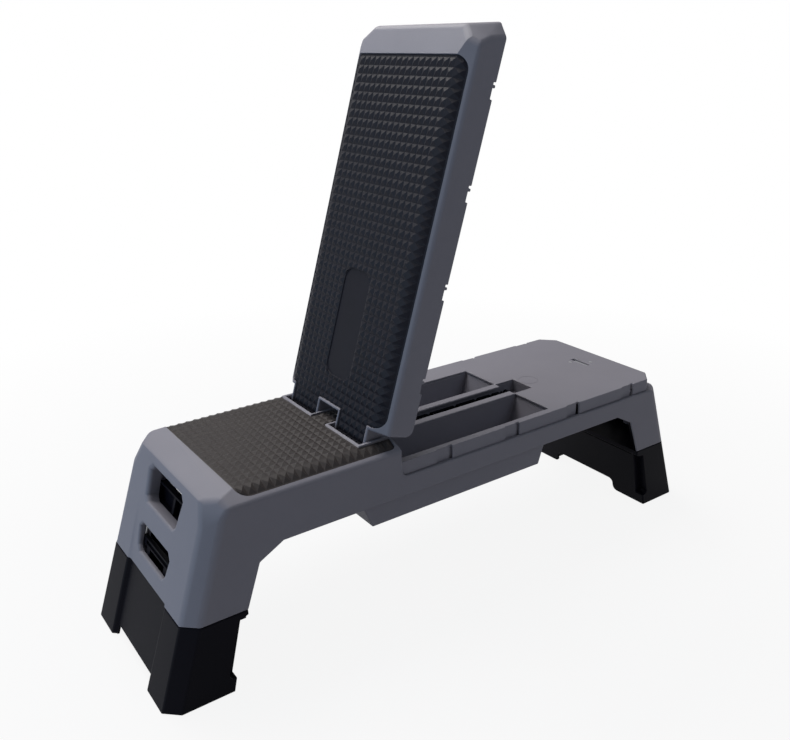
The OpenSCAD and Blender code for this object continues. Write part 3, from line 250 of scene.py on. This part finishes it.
def turn_about_hinge(obj, angle):
    """Turns a piece's mesh about the backrest's hinge line. REST_ANGLE lowers the raised backrest flat."""
    turn = Matrix.Translation(HINGE_AT) @ Matrix.Rotation(angle, 4, "Y") @ Matrix.Translation(-HINGE_AT)
    obj.data.transform(turn)


def smooth(obj, angle=SMOOTH_ANGLE):
    """Shades obj smoothly between its sharp edges, led by its large faces."""
    activate(obj)
    bpy.ops.object.shade_smooth_by_angle(angle=math.radians(angle))
    apply_modifier(obj, "WEIGHTED_NORMAL", keep_sharp=True, weight=60)


# Rounding the mouldings' edges

def edge_faces(mesh):
    """The faces on each edge, by the edge's key."""
    faces = {}
    for polygon in mesh.polygons:
        for key in polygon.edge_keys:
            faces.setdefault(key, []).append(polygon)
    return faces


def sharp_chains(mesh, faces, angle):
    """Groups sharp edges that run on smoothly into chains, so that each chain gets one radius."""
    leader = {}
    for key, pair in faces.items():
        if len(pair) == 2 and pair[0].normal.angle(pair[1].normal, 0) > angle:
            leader[key] = key
    at_vertex = {}
    for key in leader:
        for v in key:
            at_vertex.setdefault(v, []).append(key)

    def head(key):
        while leader[key] != key:
            key = leader[key]
        return key

    for v, keys in at_vertex.items():
        here = mesh.vertices[v].co
        for i, one in enumerate(keys):
            for two in keys[i + 1:]:
                ends = [mesh.vertices[k[0] if k[1] == v else k[1]].co - here for k in (one, two)]
                if ends[0].angle(ends[1], 0) > math.radians(RUNS_ON_ANGLE):
                    leader[head(one)] = head(two)
    return {key: head(key) for key in leader}


def place_in_loop(loop, key):
    """Where an edge starts in a face's ring of vertices."""
    return next(n for n, v in enumerate(loop) if {v, loop[(n + 1) % len(loop)]} == set(key))


def edge_limits(mesh, faces, chain_of):
    """What narrows a bevel: (edge, other edge or None, room) with room shared by their two radii."""
    limits = []
    at = [v.co for v in mesh.vertices]
    for key in chain_of:
        length = (at[key[1]] - at[key[0]]).length
        probes = max(FEWEST_PROBES, min(MOST_PROBES, int(length / PROBE_SPACING)))
        for face in faces[key]:
            loop = list(face.vertices)
            i = place_in_loop(loop, key)
            a, b = loop[i], loop[(i + 1) % len(loop)]
            before, after = loop[i - 1], loop[(i + 2) % len(loop)]
            along = (at[b] - at[a]).normalized()
            inward = face.normal.cross(along)
            near = {tuple(sorted((before, a))), tuple(sorted((b, after))), key}
            for probe in range(probes):
                point = at[a].lerp(at[b], (probe + 0.5) / probes)
                nearest = None
                for other in face.edge_keys:
                    if other in near:
                        continue
                    p, q = at[other[0]] - point, at[other[1]] - point
                    p_along, q_along = p.dot(along), q.dot(along)
                    if (p_along > 0) != (q_along > 0):
                        depth = p.dot(inward) + (q - p).dot(inward) * p_along / (p_along - q_along)
                        if depth > 1e-6 and (nearest is None or depth < nearest[0]):
                            nearest = (depth, other)
                if nearest:
                    limits.append((key, nearest[1] if nearest[1] in chain_of else None, nearest[0]))
            for corner, far, sign in ((a, before, 1), (b, after, -1)):
                out = at[far] - at[corner]
                other = tuple(sorted((corner, far)))
                turn = out.angle(along * sign, 0)
                if out.dot(inward) < 0 or turn > math.radians(FLAT_CORNER_ANGLE):
                    continue
                if other in chain_of:
                    limits.append((key, other, length * math.tan(turn / 2)))
                else:
                    limits.append((key, None, out.length * math.sin(turn)))
    return limits


def is_inner(mesh, key, pair):
    """True where two faces meet in a hollow corner."""
    loop = list(pair[1].vertices)
    i = place_in_loop(loop, key)
    along = mesh.vertices[loop[(i + 1) % len(loop)]].co - mesh.vertices[loop[i]].co
    return pair[1].normal.cross(along).dot(pair[0].normal) > 0


def folded_faces(mesh):
    """Faces that a bevel has folded over themselves, so that their triangles cover more than their area."""
    mesh.calc_loop_triangles()
    cover = [0.0] * len(mesh.polygons)
    for triangle in mesh.loop_triangles:
        cover[triangle.polygon_index] += triangle.area
    return [p for p in mesh.polygons if cover[p.index] > p.area * FOLD_MARGIN + 1e-8]


def first_levels(plain, faces, chain_of, steps):
    """The step that each chain starts from: the widest that its faces have room for."""
    tightest = {}
    for key, other, room in edge_limits(plain, faces, chain_of):
        pair = (chain_of[key], chain_of.get(other))
        tightest[pair] = min(room, tightest.get(pair, room))
    level = {chain: 0 for chain in chain_of.values()}
    for chain in {chain_of[key] for key in chain_of if is_inner(plain, key, faces[key])}:
        level[chain] = next(n for n, width in enumerate(steps) if width <= INNER_RADIUS)
    changed = True
    while changed:
        changed = False
        for (one, two), room in tightest.items():
            wide = steps[level[one]]
            across = steps[level[two]] if two else 0.0
            if wide and (wide + across) * ROOM_MARGIN > room:
                level[two if across > wide else one] += 1
                changed = True
    return level


def round_edges(obj, radii, angle=SHARP_ANGLE, segments=4):
    """Rounds every sharp edge in one bevel, each run of edges with the widest radius it has room for."""
    plain = obj.data
    faces = edge_faces(plain)
    chain_of = sharp_chains(plain, faces, math.radians(angle))
    steps = list(radii) + [0.0]
    level = first_levels(plain, faces, chain_of, steps)
    edge_keys = [e.key for e in plain.edges]
    at = [v.co.copy() for v in plain.vertices]
    sides = {}
    for key in chain_of:
        sides[key] = ((at[key[0]] + at[key[1]]) / 2, [face.normal.copy() for face in faces[key]])
    for attempt in range(BEVEL_TRIES):
        obj.data = plain.copy()
        shares = [steps[level[chain_of[key]]] / steps[0] if key in chain_of else 0.0 for key in edge_keys]
        obj.data.attributes.new("bevel_weight_edge", "FLOAT", "EDGE").data.foreach_set("value", shares)
        apply_modifier(obj, "BEVEL", width=steps[0], segments=segments, limit_method="WEIGHT",
            offset_type="OFFSET", use_clamp_overlap=False, loop_slide=True)
        folded = folded_faces(obj.data)
        if not folded:
            break
        narrower = set()
        for face in folded:
            centre, normal = face.center.copy(), face.normal.copy()
            reach = max((obj.data.vertices[v].co - centre).length for v in face.vertices) + steps[0]
            for key, (middle, normals) in sides.items():
                away = middle - centre
                in_plane = away.length < reach and abs(away.dot(normal)) < 0.001
                if in_plane and max(n.dot(normal) for n in normals) > 0.99:
                    narrower.add(chain_of[key])
        for chain in narrower:
            level[chain] = min(level[chain] + 1, len(radii))


# Handing pieces over

def dress(obj, node, material):
    """Gives a finished piece its material and its body, and hides the CAD node that it stands for."""
    if not obj.data.polygons:
        raise RuntimeError(obj.name + " has no faces")
    obj.data.materials.clear()
    obj.data.materials.append(material)
    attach(obj, BODY_OF[node])
    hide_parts(node)


def rounded_piece(node, ending, radii, segments, material):
    """A CAD node's shape with rounded edges, dressed and ready."""
    obj = cad_copy(node, node + ending)
    round_edges(obj, radii, segments=segments)
    smooth(obj)
    dress(obj, node, material)


def finish_node(node, material):
    """Keeps a CAD node's shape and gives it a worked material."""
    obj = NODES[node]
    if not obj.material_slots:
        obj.data.materials.append(material)
    for slot in obj.material_slots:
        slot.material = material


# Materials

def scale_for(size_mm):
    """The texture scale, in patches a metre, that draws patches of this size."""
    return 1000 / size_mm


def moulded_abs(name, tone, dark_tone, rough, relief, shine):
    """Spark-eroded ABS: a fine dull grain that softens the light, with faint flow shading.

    The real grain is about 0.3 mm; it is drawn at 2 mm so that it shows. The flow shading's patches are
    about 111 mm wide.
    """
    material, tree = new_material(name)
    place = add_node(tree, "ShaderNodeTexCoord")
    flow = add_node(tree, "ShaderNodeTexNoise", {"Scale": scale_for(111.11), "Detail": 3.0, "Roughness": 0.6},
        {"Vector": place.outputs["Object"]})
    tint = add_node(tree, "ShaderNodeMix",
        {"data_type": "RGBA", "A": hex_linear(tone), "B": hex_linear(dark_tone)},
        {"Factor": flow.outputs["Fac"]})
    grain = add_node(tree, "ShaderNodeTexNoise", {"Scale": scale_for(2), "Detail": 2.0, "Roughness": 0.55},
        {"Vector": place.outputs["Object"]})
    bump = add_node(tree, "ShaderNodeBump", {"Strength": relief, "Distance": 0.0004},
        {"Height": grain.outputs["Fac"]})
    gloss = add_node(tree, "ShaderNodeMapRange", {"To Min": rough - 0.05, "To Max": rough + 0.06},
        {"Value": grain.outputs["Fac"]})
    shader = add_node(tree, "ShaderNodeBsdfPrincipled", {"IOR": 1.53, "Specular IOR Level": shine},
        {"Base Color": tint.outputs["Result"], "Roughness": gloss.outputs["Result"],
            "Normal": bump.outputs["Normal"]})
    add_node(tree, "ShaderNodeOutputMaterial", None, {"Surface": shader.outputs["BSDF"]})
    return material


def moulded_rubber(name, tone, bloom_tone):
    """Press-moulded rubber: dark, with a patchy dry bloom, fine pores and a soft wide gloss.

    The bloom's patches are about 45 mm wide. The pores are finer on real rubber; they are drawn at about
    2.4 mm so that they show.
    """
    material, tree = new_material(name)
    place = add_node(tree, "ShaderNodeTexCoord")
    bloom = add_node(tree, "ShaderNodeTexNoise",
        {"Scale": scale_for(45.455), "Detail": 5.0, "Roughness": 0.65}, {"Vector": place.outputs["Object"]})
    tint = add_node(tree, "ShaderNodeMix",
        {"data_type": "RGBA", "A": hex_linear(tone), "B": hex_linear(bloom_tone)},
        {"Factor": bloom.outputs["Fac"]})
    pores = add_node(tree, "ShaderNodeTexNoise",
        {"Scale": scale_for(2.38095), "Detail": 3.0, "Roughness": 0.6}, {"Vector": place.outputs["Object"]})
    bump = add_node(tree, "ShaderNodeBump", {"Strength": 0.25, "Distance": 0.0004},
        {"Height": pores.outputs["Fac"]})
    shader = add_node(tree, "ShaderNodeBsdfPrincipled",
        {"IOR": 1.52, "Roughness": 0.5, "Specular IOR Level": 0.15, "Sheen Weight": 0.03,
            "Sheen Roughness": 0.4},
        {"Base Color": tint.outputs["Result"], "Normal": bump.outputs["Normal"]})
    add_node(tree, "ShaderNodeOutputMaterial", None, {"Surface": shader.outputs["BSDF"]})
    return material


def zinc_plated_steel(name, tone):
    """Bright zinc plate over drawn steel: fine lines along the cross rods and a slightly cloudy shine.

    The lines are about 1.1 mm apart and 17 mm long, and the clouds 6.25 mm wide.
    """
    material, tree = new_material(name)
    place = add_node(tree, "ShaderNodeTexCoord")
    apart, long = scale_for(1.1111), scale_for(16.667)
    stretch = add_node(tree, "ShaderNodeMapping", {"Scale": (apart, long, apart)},
        {"Vector": place.outputs["Object"]})
    lines = add_node(tree, "ShaderNodeTexNoise", {"Scale": 1.0, "Detail": 2.0},
        {"Vector": stretch.outputs["Vector"]})
    cloud = add_node(tree, "ShaderNodeTexNoise", {"Scale": scale_for(6.25), "Detail": 3.0},
        {"Vector": place.outputs["Object"]})
    gloss = add_node(tree, "ShaderNodeMapRange", {"To Min": 0.26, "To Max": 0.42},
        {"Value": cloud.outputs["Fac"]})
    bump = add_node(tree, "ShaderNodeBump", {"Strength": 0.15, "Distance": 0.0002},
        {"Height": lines.outputs["Fac"]})
    shader = add_node(tree, "ShaderNodeBsdfPrincipled", {"Base Color": hex_linear(tone), "Metallic": 1.0},
        {"Roughness": gloss.outputs["Result"], "Normal": bump.outputs["Normal"]})
    add_node(tree, "ShaderNodeOutputMaterial", None, {"Surface": shader.outputs["BSDF"]})
    return material


def material_named(looks, name):
    """Makes each material once and hands it out by its name."""
    known = bpy.data.materials.get(name)
    if known:
        return known
    if name == GREY_ABS:
        return moulded_abs(name, looks.grey_tone, looks.grey_dark_tone, 0.55, 0.35, 0.35)
    if name == BLACK_ABS:
        return moulded_abs(name, looks.black_tone, looks.black_dark_tone, 0.42, 0.30, 0.05)
    # The seat mat's tones are the rubber with painted top light and sheen, lighter and warmer than the backrest
    # mat's
    if name == SEAT_RUBBER_PAINTED_LIGHT:
        return moulded_rubber(name, looks.seat_mat_painted_light_tone, looks.seat_mat_painted_light_bloom)
    # The backrest mat's tones are the same rubber with painted shade, darker and bluer
    if name == BACKREST_RUBBER_PAINTED_SHADE:
        return moulded_rubber(name, looks.backrest_mat_painted_shade_tone, looks.backrest_mat_painted_shade_bloom)
    if name == FOOT_RUBBER:
        return moulded_rubber(name, looks.foot_tone, looks.foot_bloom)
    return zinc_plated_steel(name, looks.steel_tone)


# The settings a user would change

class BenchLooks(bpy.types.PropertyGroup):
    grey_tone: bpy.props.StringProperty(name="Grey moulding",
        description="sRGB hex colour of the grey ABS", default="#83828C")
    grey_dark_tone: bpy.props.StringProperty(name="Grey flow shade",
        description="Darker sRGB hex shade in the grey ABS", default="#7B7A84")
    black_tone: bpy.props.StringProperty(name="Black moulding",
        description="sRGB hex colour of the black ABS", default="#111019")
    black_dark_tone: bpy.props.StringProperty(name="Black flow shade",
        description="Darker sRGB hex shade in the black ABS", default="#0E0E14")
    # The seat mat tones hold painted top light and sheen: the same rubber as the backrest mat, painted lighter and
    # warmer
    seat_mat_painted_light_tone: bpy.props.StringProperty(name="Seat mat",
        description="sRGB hex colour of the seat mat, with painted top light and sheen", default="#343031")
    seat_mat_painted_light_bloom: bpy.props.StringProperty(name="Seat mat bloom",
        description="Paler sRGB hex shade of the seat mat, with painted top light and sheen", default="#3E3A39")
    # The backrest mat tones hold painted shade: the same rubber as the seat mat, painted darker and bluer
    backrest_mat_painted_shade_tone: bpy.props.StringProperty(name="Backrest mat",
        description="sRGB hex colour of the backrest mat, with painted shade", default="#17171F")
    backrest_mat_painted_shade_bloom: bpy.props.StringProperty(name="Backrest mat bloom",
        description="Paler sRGB hex shade of the backrest mat, with painted shade", default="#1E1E28")
    foot_tone: bpy.props.StringProperty(name="Foot",
        description="sRGB hex colour of the rubber feet", default="#1B1B1C")
    foot_bloom: bpy.props.StringProperty(name="Foot bloom",
        description="Paler sRGB hex shade of the rubber feet", default="#262627")
    steel_tone: bpy.props.StringProperty(name="Steel",
        description="sRGB hex colour of the zinc plate", default="#C4C6CA")
    stud_pitch: bpy.props.FloatProperty(name="Stud pitch",
        description="Spacing of the pyramid studs", default=0.015, unit="LENGTH")
    stud_height: bpy.props.FloatProperty(name="Stud height",
        description="Height of the pyramid studs", default=0.003, unit="LENGTH")
    mat_border: bpy.props.FloatProperty(name="Mat border",
        description="Smooth border round the studs", default=0.004, unit="LENGTH")
    edge_radius: bpy.props.FloatProperty(name="Edge radius",
        description="Widest rounding of the moulded edges", default=0.008, unit="LENGTH")


class StudioSettings(bpy.types.PropertyGroup):
    top_power: bpy.props.FloatProperty(name="Top light",
        description="Power of the warm overhead light", default=81.0, unit="POWER")
    end_power: bpy.props.FloatProperty(name="End light",
        description="Power of the cool light on the seat end", default=40.0, unit="POWER")
    side_power: bpy.props.FloatProperty(name="Side light",
        description="Power of the small light on the near side", default=4.0, unit="POWER")
    sky_level: bpy.props.FloatProperty(name="Ambient",
        description="Strength of the surrounding light", default=0.11)


# Operators, one for each piece or group of like pieces

class BENCH_OT_grey_mouldings(bpy.types.Operator):
    """Round the edges of the grey mouldings and give them their finish"""
    bl_idname = "bench.grey_mouldings"
    bl_label = "Grey mouldings"

    def execute(self, context):
        looks = context.scene.bench_looks
        material = material_named(looks, GREY_ABS)
        shell_radii = (looks.edge_radius,) + FINER_SHELL_RADII
        for node, radii in (("base_shell", shell_radii), ("backrest_shell", shell_radii),
                ("deck_tray", DECK_RADII), ("storage_bin", BIN_RADII)):
            rounded_piece(node, "_moulding", radii, 4, material)
        return {"FINISHED"}


class BENCH_OT_black_mouldings(bpy.types.Operator):
    """Round the edges of the black mouldings and give them their finish"""
    bl_idname = "bench.black_mouldings"
    bl_label = "Black mouldings"

    def execute(self, context):
        material = material_named(context.scene.bench_looks, BLACK_ABS)
        for node, radii in (("front_leg", LEG_RADII), ("rear_leg", LEG_RADII), ("carry_grip", BAR_RADII),
                ("prop_strut", BAR_RADII)):
            rounded_piece(node, "_moulding", radii, 3, material)
        for node in ("rack_insert", "hinge_bushes", "lid_catch", "front_leg_latch", "rear_leg_latch"):
            rounded_piece(node, "_moulding", SMALL_RADII, 2, material)
        return {"FINISHED"}


class BENCH_OT_metal_parts(bpy.types.Operator):
    """Give the rod, pins, screws, plates and springs their plated finish"""
    bl_idname = "bench.metal_parts"
    bl_label = "Metal parts"

    def execute(self, context):
        material = material_named(context.scene.bench_looks, ZINC_PLATE)
        for node in ("bin_screws", "hinge_rod", "catch_plate", "catch_screws", "strut_bracket",
                "bracket_screws", "strut_pin", "strut_foot_rod", "front_leg_pins", "rear_leg_pins",
                "front_latch_springs", "rear_latch_springs"):
            finish_node(node, material)
        return {"FINISHED"}


class BENCH_OT_rubber_feet(bpy.types.Operator):
    """Round the rubber feet and give them their finish"""
    bl_idname = "bench.rubber_feet"
    bl_label = "Rubber feet"

    def execute(self, context):
        material = material_named(context.scene.bench_looks, FOOT_RUBBER)
        for node in ("front_leg_feet", "rear_leg_feet"):
            rounded_piece(node, "_rubber", FOOT_RADII, 2, material)
        return {"FINISHED"}


def stud_field(name, x_from, x_to, looks):
    """A closed slab whose top is rows of pyramids, with a sloping row down each side."""
    pitch, height, border = looks.stud_pitch, looks.stud_height, looks.mat_border
    rows = round((x_to - x_from) / pitch)
    columns = round(2 * FLAT_HALF_WIDTH / pitch)
    deselect_all()
    bpy.ops.mesh.primitive_grid_add(x_subdivisions=rows, y_subdivisions=columns, size=1)
    obj = bpy.context.object
    obj.name = name
    obj.scale = (x_to - x_from, 2 * FLAT_HALF_WIDTH, 1)
    # The tips end just under the mat's top
    obj.location = ((x_from + x_to) / 2, 0, SEAT_TOP - height * 1.05)
    bpy.ops.object.transform_apply(location=True, rotation=True, scale=True)
    reach = MAT_HALF_WIDTH - border - FLAT_HALF_WIDTH
    edit(obj, "EDGE")
    for side in (-1, 1):
        pick_edges(obj, lambda at, along: abs(at.y - side * FLAT_HALF_WIDTH) < 1e-5 and abs(along.y) < 1e-6)
        outwards = (0, side * reach, -CROWN_SLOPE * reach)
        bpy.ops.mesh.extrude_edges_move(TRANSFORM_OT_translate={"value": outwards})
    bpy.ops.mesh.select_mode(type="FACE")
    bpy.ops.mesh.select_all(action="SELECT")
    bpy.ops.mesh.normals_make_consistent(inside=False)
    bpy.ops.mesh.poke(offset=height)
    bpy.ops.mesh.select_all(action="SELECT")
    bpy.ops.mesh.extrude_region_move(TRANSFORM_OT_translate={"value": (0, 0, -STUD_BASE_DEPTH)})
    bpy.ops.mesh.select_all(action="SELECT")
    bpy.ops.mesh.normals_make_consistent(inside=False)
    bpy.ops.object.mode_set(mode="OBJECT")
    return obj


def outline_cutter(name, low, high, radius=0, test=None):
    """A tall block between two (x, y) corners, with the upright edges that pass the test rounded."""
    obj = box_piece(name, (*low, CUTTER_BOTTOM), (*high, CUTTER_TOP))
    if radius:
        edit(obj, "EDGE")
        pick_edges(obj, lambda at, along: abs(along.z) > 0.01 and test(at))
        bpy.ops.mesh.bevel(offset=radius, segments=8, affect="EDGES")
        bpy.ops.object.mode_set(mode="OBJECT")
    return obj


def mat_body(node, name, looks):
    """The mat under the studs: the CAD mat, closed flat, with its top lowered by the stud height."""
    obj = cad_copy(node, name)
    if BODY_OF[node] == "backrest":
        turn_about_hinge(obj, REST_ANGLE)
    edit(obj)
    pick_vertices(obj,
        lambda at: SEAT_TOP - max(0, abs(at.y) - FLAT_HALF_WIDTH) * CROWN_SLOPE - at.z < TOP_SKIN)
    bpy.ops.transform.translate(value=(0, 0, -looks.stud_height))
    bpy.ops.object.mode_set(mode="OBJECT")
    round_edges(obj, (MAT_EDGE_RADIUS,), MAT_SHARP_ANGLE)
    return obj


def join_mat(obj, field):
    """Joins the flat-faced studs to the smoothly rounded mat under them."""
    smooth(obj, MAT_SHARP_ANGLE)
    activate(obj)
    field.select_set(True)
    bpy.ops.object.join()


class BENCH_OT_seat_mat(bpy.types.Operator):
    """Model the studded seat mat"""
    bl_idname = "bench.seat_mat"
    bl_label = "Seat mat"

    def execute(self, context):
        looks = context.scene.bench_looks
        border = looks.mat_border
        low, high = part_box("seat_pad")
        front, far = low[0] + border, high[0] - border
        field = stud_field("seat_studs", front, far, looks)
        middle = (front + FINGER_ROOT) / 2
        cutter = outline_cutter("seat_outline", (front, -MAT_HALF_WIDTH + border),
            (FINGER_ROOT - border, MAT_HALF_WIDTH - border), MAT_CORNER_RADIUS, lambda at: at.x < middle)
        for inner, outer in ((-MAT_HALF_WIDTH, -OUTER_FINGER_INSIDE),
                (-MIDDLE_FINGER_HALF_WIDTH, MIDDLE_FINGER_HALF_WIDTH),
                (OUTER_FINGER_INSIDE, MAT_HALF_WIDTH)):
            finger = outline_cutter("finger_outline", (FINGER_ROOT - FINGER_OVERLAP, inner + border),
                (far, outer - border))
            combine(cutter, finger, "UNION")
        combine(field, cutter, "INTERSECT")
        mat = mat_body("seat_pad", "seat_mat", looks)
        join_mat(mat, field)
        dress(mat, "seat_pad", material_named(looks, SEAT_RUBBER_PAINTED_LIGHT))
        return {"FINISHED"}


class BENCH_OT_backrest_mat(bpy.types.Operator):
    """Model the studded backrest mat with its smooth oblong"""
    bl_idname = "bench.backrest_mat"
    bl_label = "Backrest mat"

    def execute(self, context):
        looks = context.scene.bench_looks
        border = looks.mat_border
        tip, far = TONGUE_TIP + border / 2, BACKREST_MAT_FAR - border
        field = stud_field("backrest_studs", tip, far, looks)
        cutter = outline_cutter("backrest_outline", (BACKREST_MAT_FRONT + border, -MAT_HALF_WIDTH + border),
            (far, MAT_HALF_WIDTH - border), MAT_CORNER_RADIUS, lambda at: True)
        for inner, outer in ((-TONGUE_OUTSIDE, -TONGUE_INSIDE), (TONGUE_INSIDE, TONGUE_OUTSIDE)):
            tongue = outline_cutter("tongue_outline", (tip, inner),
                (BACKREST_MAT_FRONT + TONGUE_OVERLAP, outer))
            combine(cutter, tongue, "UNION")
        combine(field, cutter, "INTERSECT")
        oblong = outline_cutter("oblong_outline", (OBLONG_FRONT, -OBLONG_HALF_WIDTH),
            (OBLONG_FAR, OBLONG_HALF_WIDTH), OBLONG_CORNER_RADIUS, lambda at: True)
        combine(field, oblong, "DIFFERENCE")
        mat = mat_body("backrest_pad", "backrest_mat", looks)
        join_mat(mat, field)
        turn_about_hinge(mat, -REST_ANGLE)
        dress(mat, "backrest_pad", material_named(looks, BACKREST_RUBBER_PAINTED_SHADE))
        return {"FINISHED"}


def make_floor():
    """A pale floor that the camera sees as nearly white and that keeps a soft shadow."""
    deselect_all()
    bpy.ops.mesh.primitive_plane_add(size=24)
    floor = bpy.context.object
    floor.name = "studio_floor"
    material, tree = new_material("white studio paint")
    path = add_node(tree, "ShaderNodeLightPath")
    shine = add_node(tree, "ShaderNodeMath", {"operation": "MULTIPLY", 1: 0.5},
        {0: path.outputs["Is Glossy Ray"]})
    either = add_node(tree, "ShaderNodeMath", {"operation": "MAXIMUM"},
        {0: path.outputs["Is Camera Ray"], 1: shine.outputs[0]})
    seen = add_node(tree, "ShaderNodeMath", {"operation": "MAXIMUM"},
        {0: either.outputs[0], 1: path.outputs["Is Transmission Ray"]})
    place = add_node(tree, "ShaderNodeTexCoord")
    away = add_node(tree, "ShaderNodeVectorMath", {"operation": "LENGTH"}, {0: place.outputs["Object"]})
    fade = add_node(tree, "ShaderNodeMapRange",
        {"From Min": 0.6, "From Max": 1.8, "To Min": 0.9, "To Max": 1.0}, {"Value": away.outputs["Value"]})
    share = add_node(tree, "ShaderNodeMath", {"operation": "MULTIPLY"},
        {0: seen.outputs[0], 1: fade.outputs["Result"]})
    paint = add_node(tree, "ShaderNodeBsdfDiffuse", {"Color": hex_linear("#C4C4C8")})
    glow = add_node(tree, "ShaderNodeEmission", {"Color": WHITE, "Strength": 1.0})
    mix = add_node(tree, "ShaderNodeMixShader", None,
        {0: share.outputs[0], 1: paint.outputs["BSDF"], 2: glow.outputs["Emission"]})
    add_node(tree, "ShaderNodeOutputMaterial", None, {"Surface": mix.outputs["Shader"]})
    floor.data.materials.append(material)


def make_surroundings(level):
    """A white background for the camera, a weaker one for reflections and a faint light all round."""
    world = bpy.data.worlds.new("studio surroundings")
    bpy.context.scene.world = world
    world.use_nodes = True
    tree = world.node_tree
    tree.nodes.clear()
    path = add_node(tree, "ShaderNodeLightPath")
    either = add_node(tree, "ShaderNodeMath", {"operation": "MAXIMUM"},
        {0: path.outputs["Is Camera Ray"], 1: path.outputs["Is Transmission Ray"]})
    shine = add_node(tree, "ShaderNodeMath", {"operation": "MULTIPLY", 1: 0.45},
        {0: path.outputs["Is Glossy Ray"]})
    seen = add_node(tree, "ShaderNodeMath", {"operation": "MAXIMUM"},
        {0: either.outputs[0], 1: shine.outputs[0]})
    strength = add_node(tree, "ShaderNodeMath", {"operation": "MAXIMUM", 1: level}, {0: seen.outputs[0]})
    sky = add_node(tree, "ShaderNodeBackground", {"Color": WHITE}, {"Strength": strength.outputs[0]})
    add_node(tree, "ShaderNodeOutputWorld", None, {"Surface": sky.outputs["Background"]})


def area_light(name, at, towards, size, power, colour):
    """A square lamp of a linear RGB colour, turned towards a point."""
    deselect_all()
    bpy.ops.object.light_add(type="AREA", location=at)
    lamp = bpy.context.object
    lamp.name = name
    lamp.rotation_euler = (Vector(towards) - Vector(at)).to_track_quat("-Z", "Y").to_euler()
    lamp.data.size = size
    lamp.data.energy = power
    lamp.data.color = colour


def make_camera():
    """The camera at the photo's viewpoint, with its slight roll."""
    azimuth, elevation, roll = (math.radians(a) for a in (CAMERA_AZIMUTH, CAMERA_ELEVATION, CAMERA_ROLL))
    level = math.cos(elevation)
    back = Vector((math.sin(azimuth) * level, -math.cos(azimuth) * level, math.sin(elevation)))
    right = (-back).cross(Vector((0, 0, 1))).normalized()
    up = right.cross(-back).normalized()
    right_rolled = right * math.cos(roll) + up * math.sin(roll)
    up_rolled = -right * math.sin(roll) + up * math.cos(roll)
    deselect_all()
    bpy.ops.object.camera_add(location=CAMERA_AT)
    camera = bpy.context.object
    camera.name = "photo camera"
    camera.rotation_euler = Matrix((right_rolled, up_rolled, back)).transposed().to_euler()
    camera.data.sensor_width = SENSOR_WIDTH
    camera.data.lens = CAMERA_LENS
    camera.data.clip_start = 0.05
    camera.data.clip_end = 60.0
    bpy.context.scene.camera = camera


class BENCH_OT_stage(bpy.types.Operator):
    """Set up the pale floor, the soft lights and the camera"""
    bl_idname = "bench.stage"
    bl_label = "Stage"

    def execute(self, context):
        studio = context.scene.bench_studio
        context.scene.view_settings.view_transform = "Standard"
        make_floor()
        make_surroundings(studio.sky_level)
        area_light("top light", (-0.2, 1.3, 2.9), (-0.1, 0, 0.3), 1.8, studio.top_power, (1.0, 0.965, 0.93))
        area_light("end light", (-3.6, 0.4, 1.3), (-0.4, 0, 0.35), 2.4, studio.end_power, (0.50, 0.74, 1.0))
        area_light("side light", (0.9, -1.8, 1.6), (0.0, -0.1, 0.8), 1.0, studio.side_power,
            (0.70, 0.82, 1.0))
        make_camera()
        return {"FINISHED"}


class BENCH_PT_panel(bpy.types.Panel):
    bl_idname = "BENCH_PT_panel"
    bl_label = "Folding weight bench"
    bl_space_type = "VIEW_3D"
    bl_region_type = "UI"
    bl_category = "Bench"

    def draw(self, context):
        for group in (context.scene.bench_looks, context.scene.bench_studio):
            for name in group.bl_rna.properties.keys():
                if name not in ("rna_type", "name"):
                    self.layout.prop(group, name)
        for operator in OPERATORS:
            self.layout.operator(operator.bl_idname)


OPERATORS = (
    BENCH_OT_grey_mouldings,
    BENCH_OT_black_mouldings,
    BENCH_OT_metal_parts,
    BENCH_OT_rubber_feet,
    BENCH_OT_seat_mat,
    BENCH_OT_backrest_mat,
    BENCH_OT_stage,
)
CLASSES = (BenchLooks, StudioSettings) + OPERATORS + (BENCH_PT_panel,)


def register():
    for cls in CLASSES:
        bpy.utils.register_class(cls)
    bpy.types.Scene.bench_looks = bpy.props.PointerProperty(type=BenchLooks)
    bpy.types.Scene.bench_studio = bpy.props.PointerProperty(type=StudioSettings)


def unregister():
    del bpy.types.Scene.bench_studio
    del bpy.types.Scene.bench_looks
    for cls in reversed(CLASSES):
        bpy.utils.unregister_class(cls)


def main():
    register()
    bpy.ops.bench.grey_mouldings()
    bpy.ops.bench.black_mouldings()
    bpy.ops.bench.metal_parts()
    bpy.ops.bench.rubber_feet()
    bpy.ops.bench.seat_mat()
    bpy.ops.bench.backrest_mat()
    bpy.ops.bench.stage()


if __name__ == "__main__":
    main()
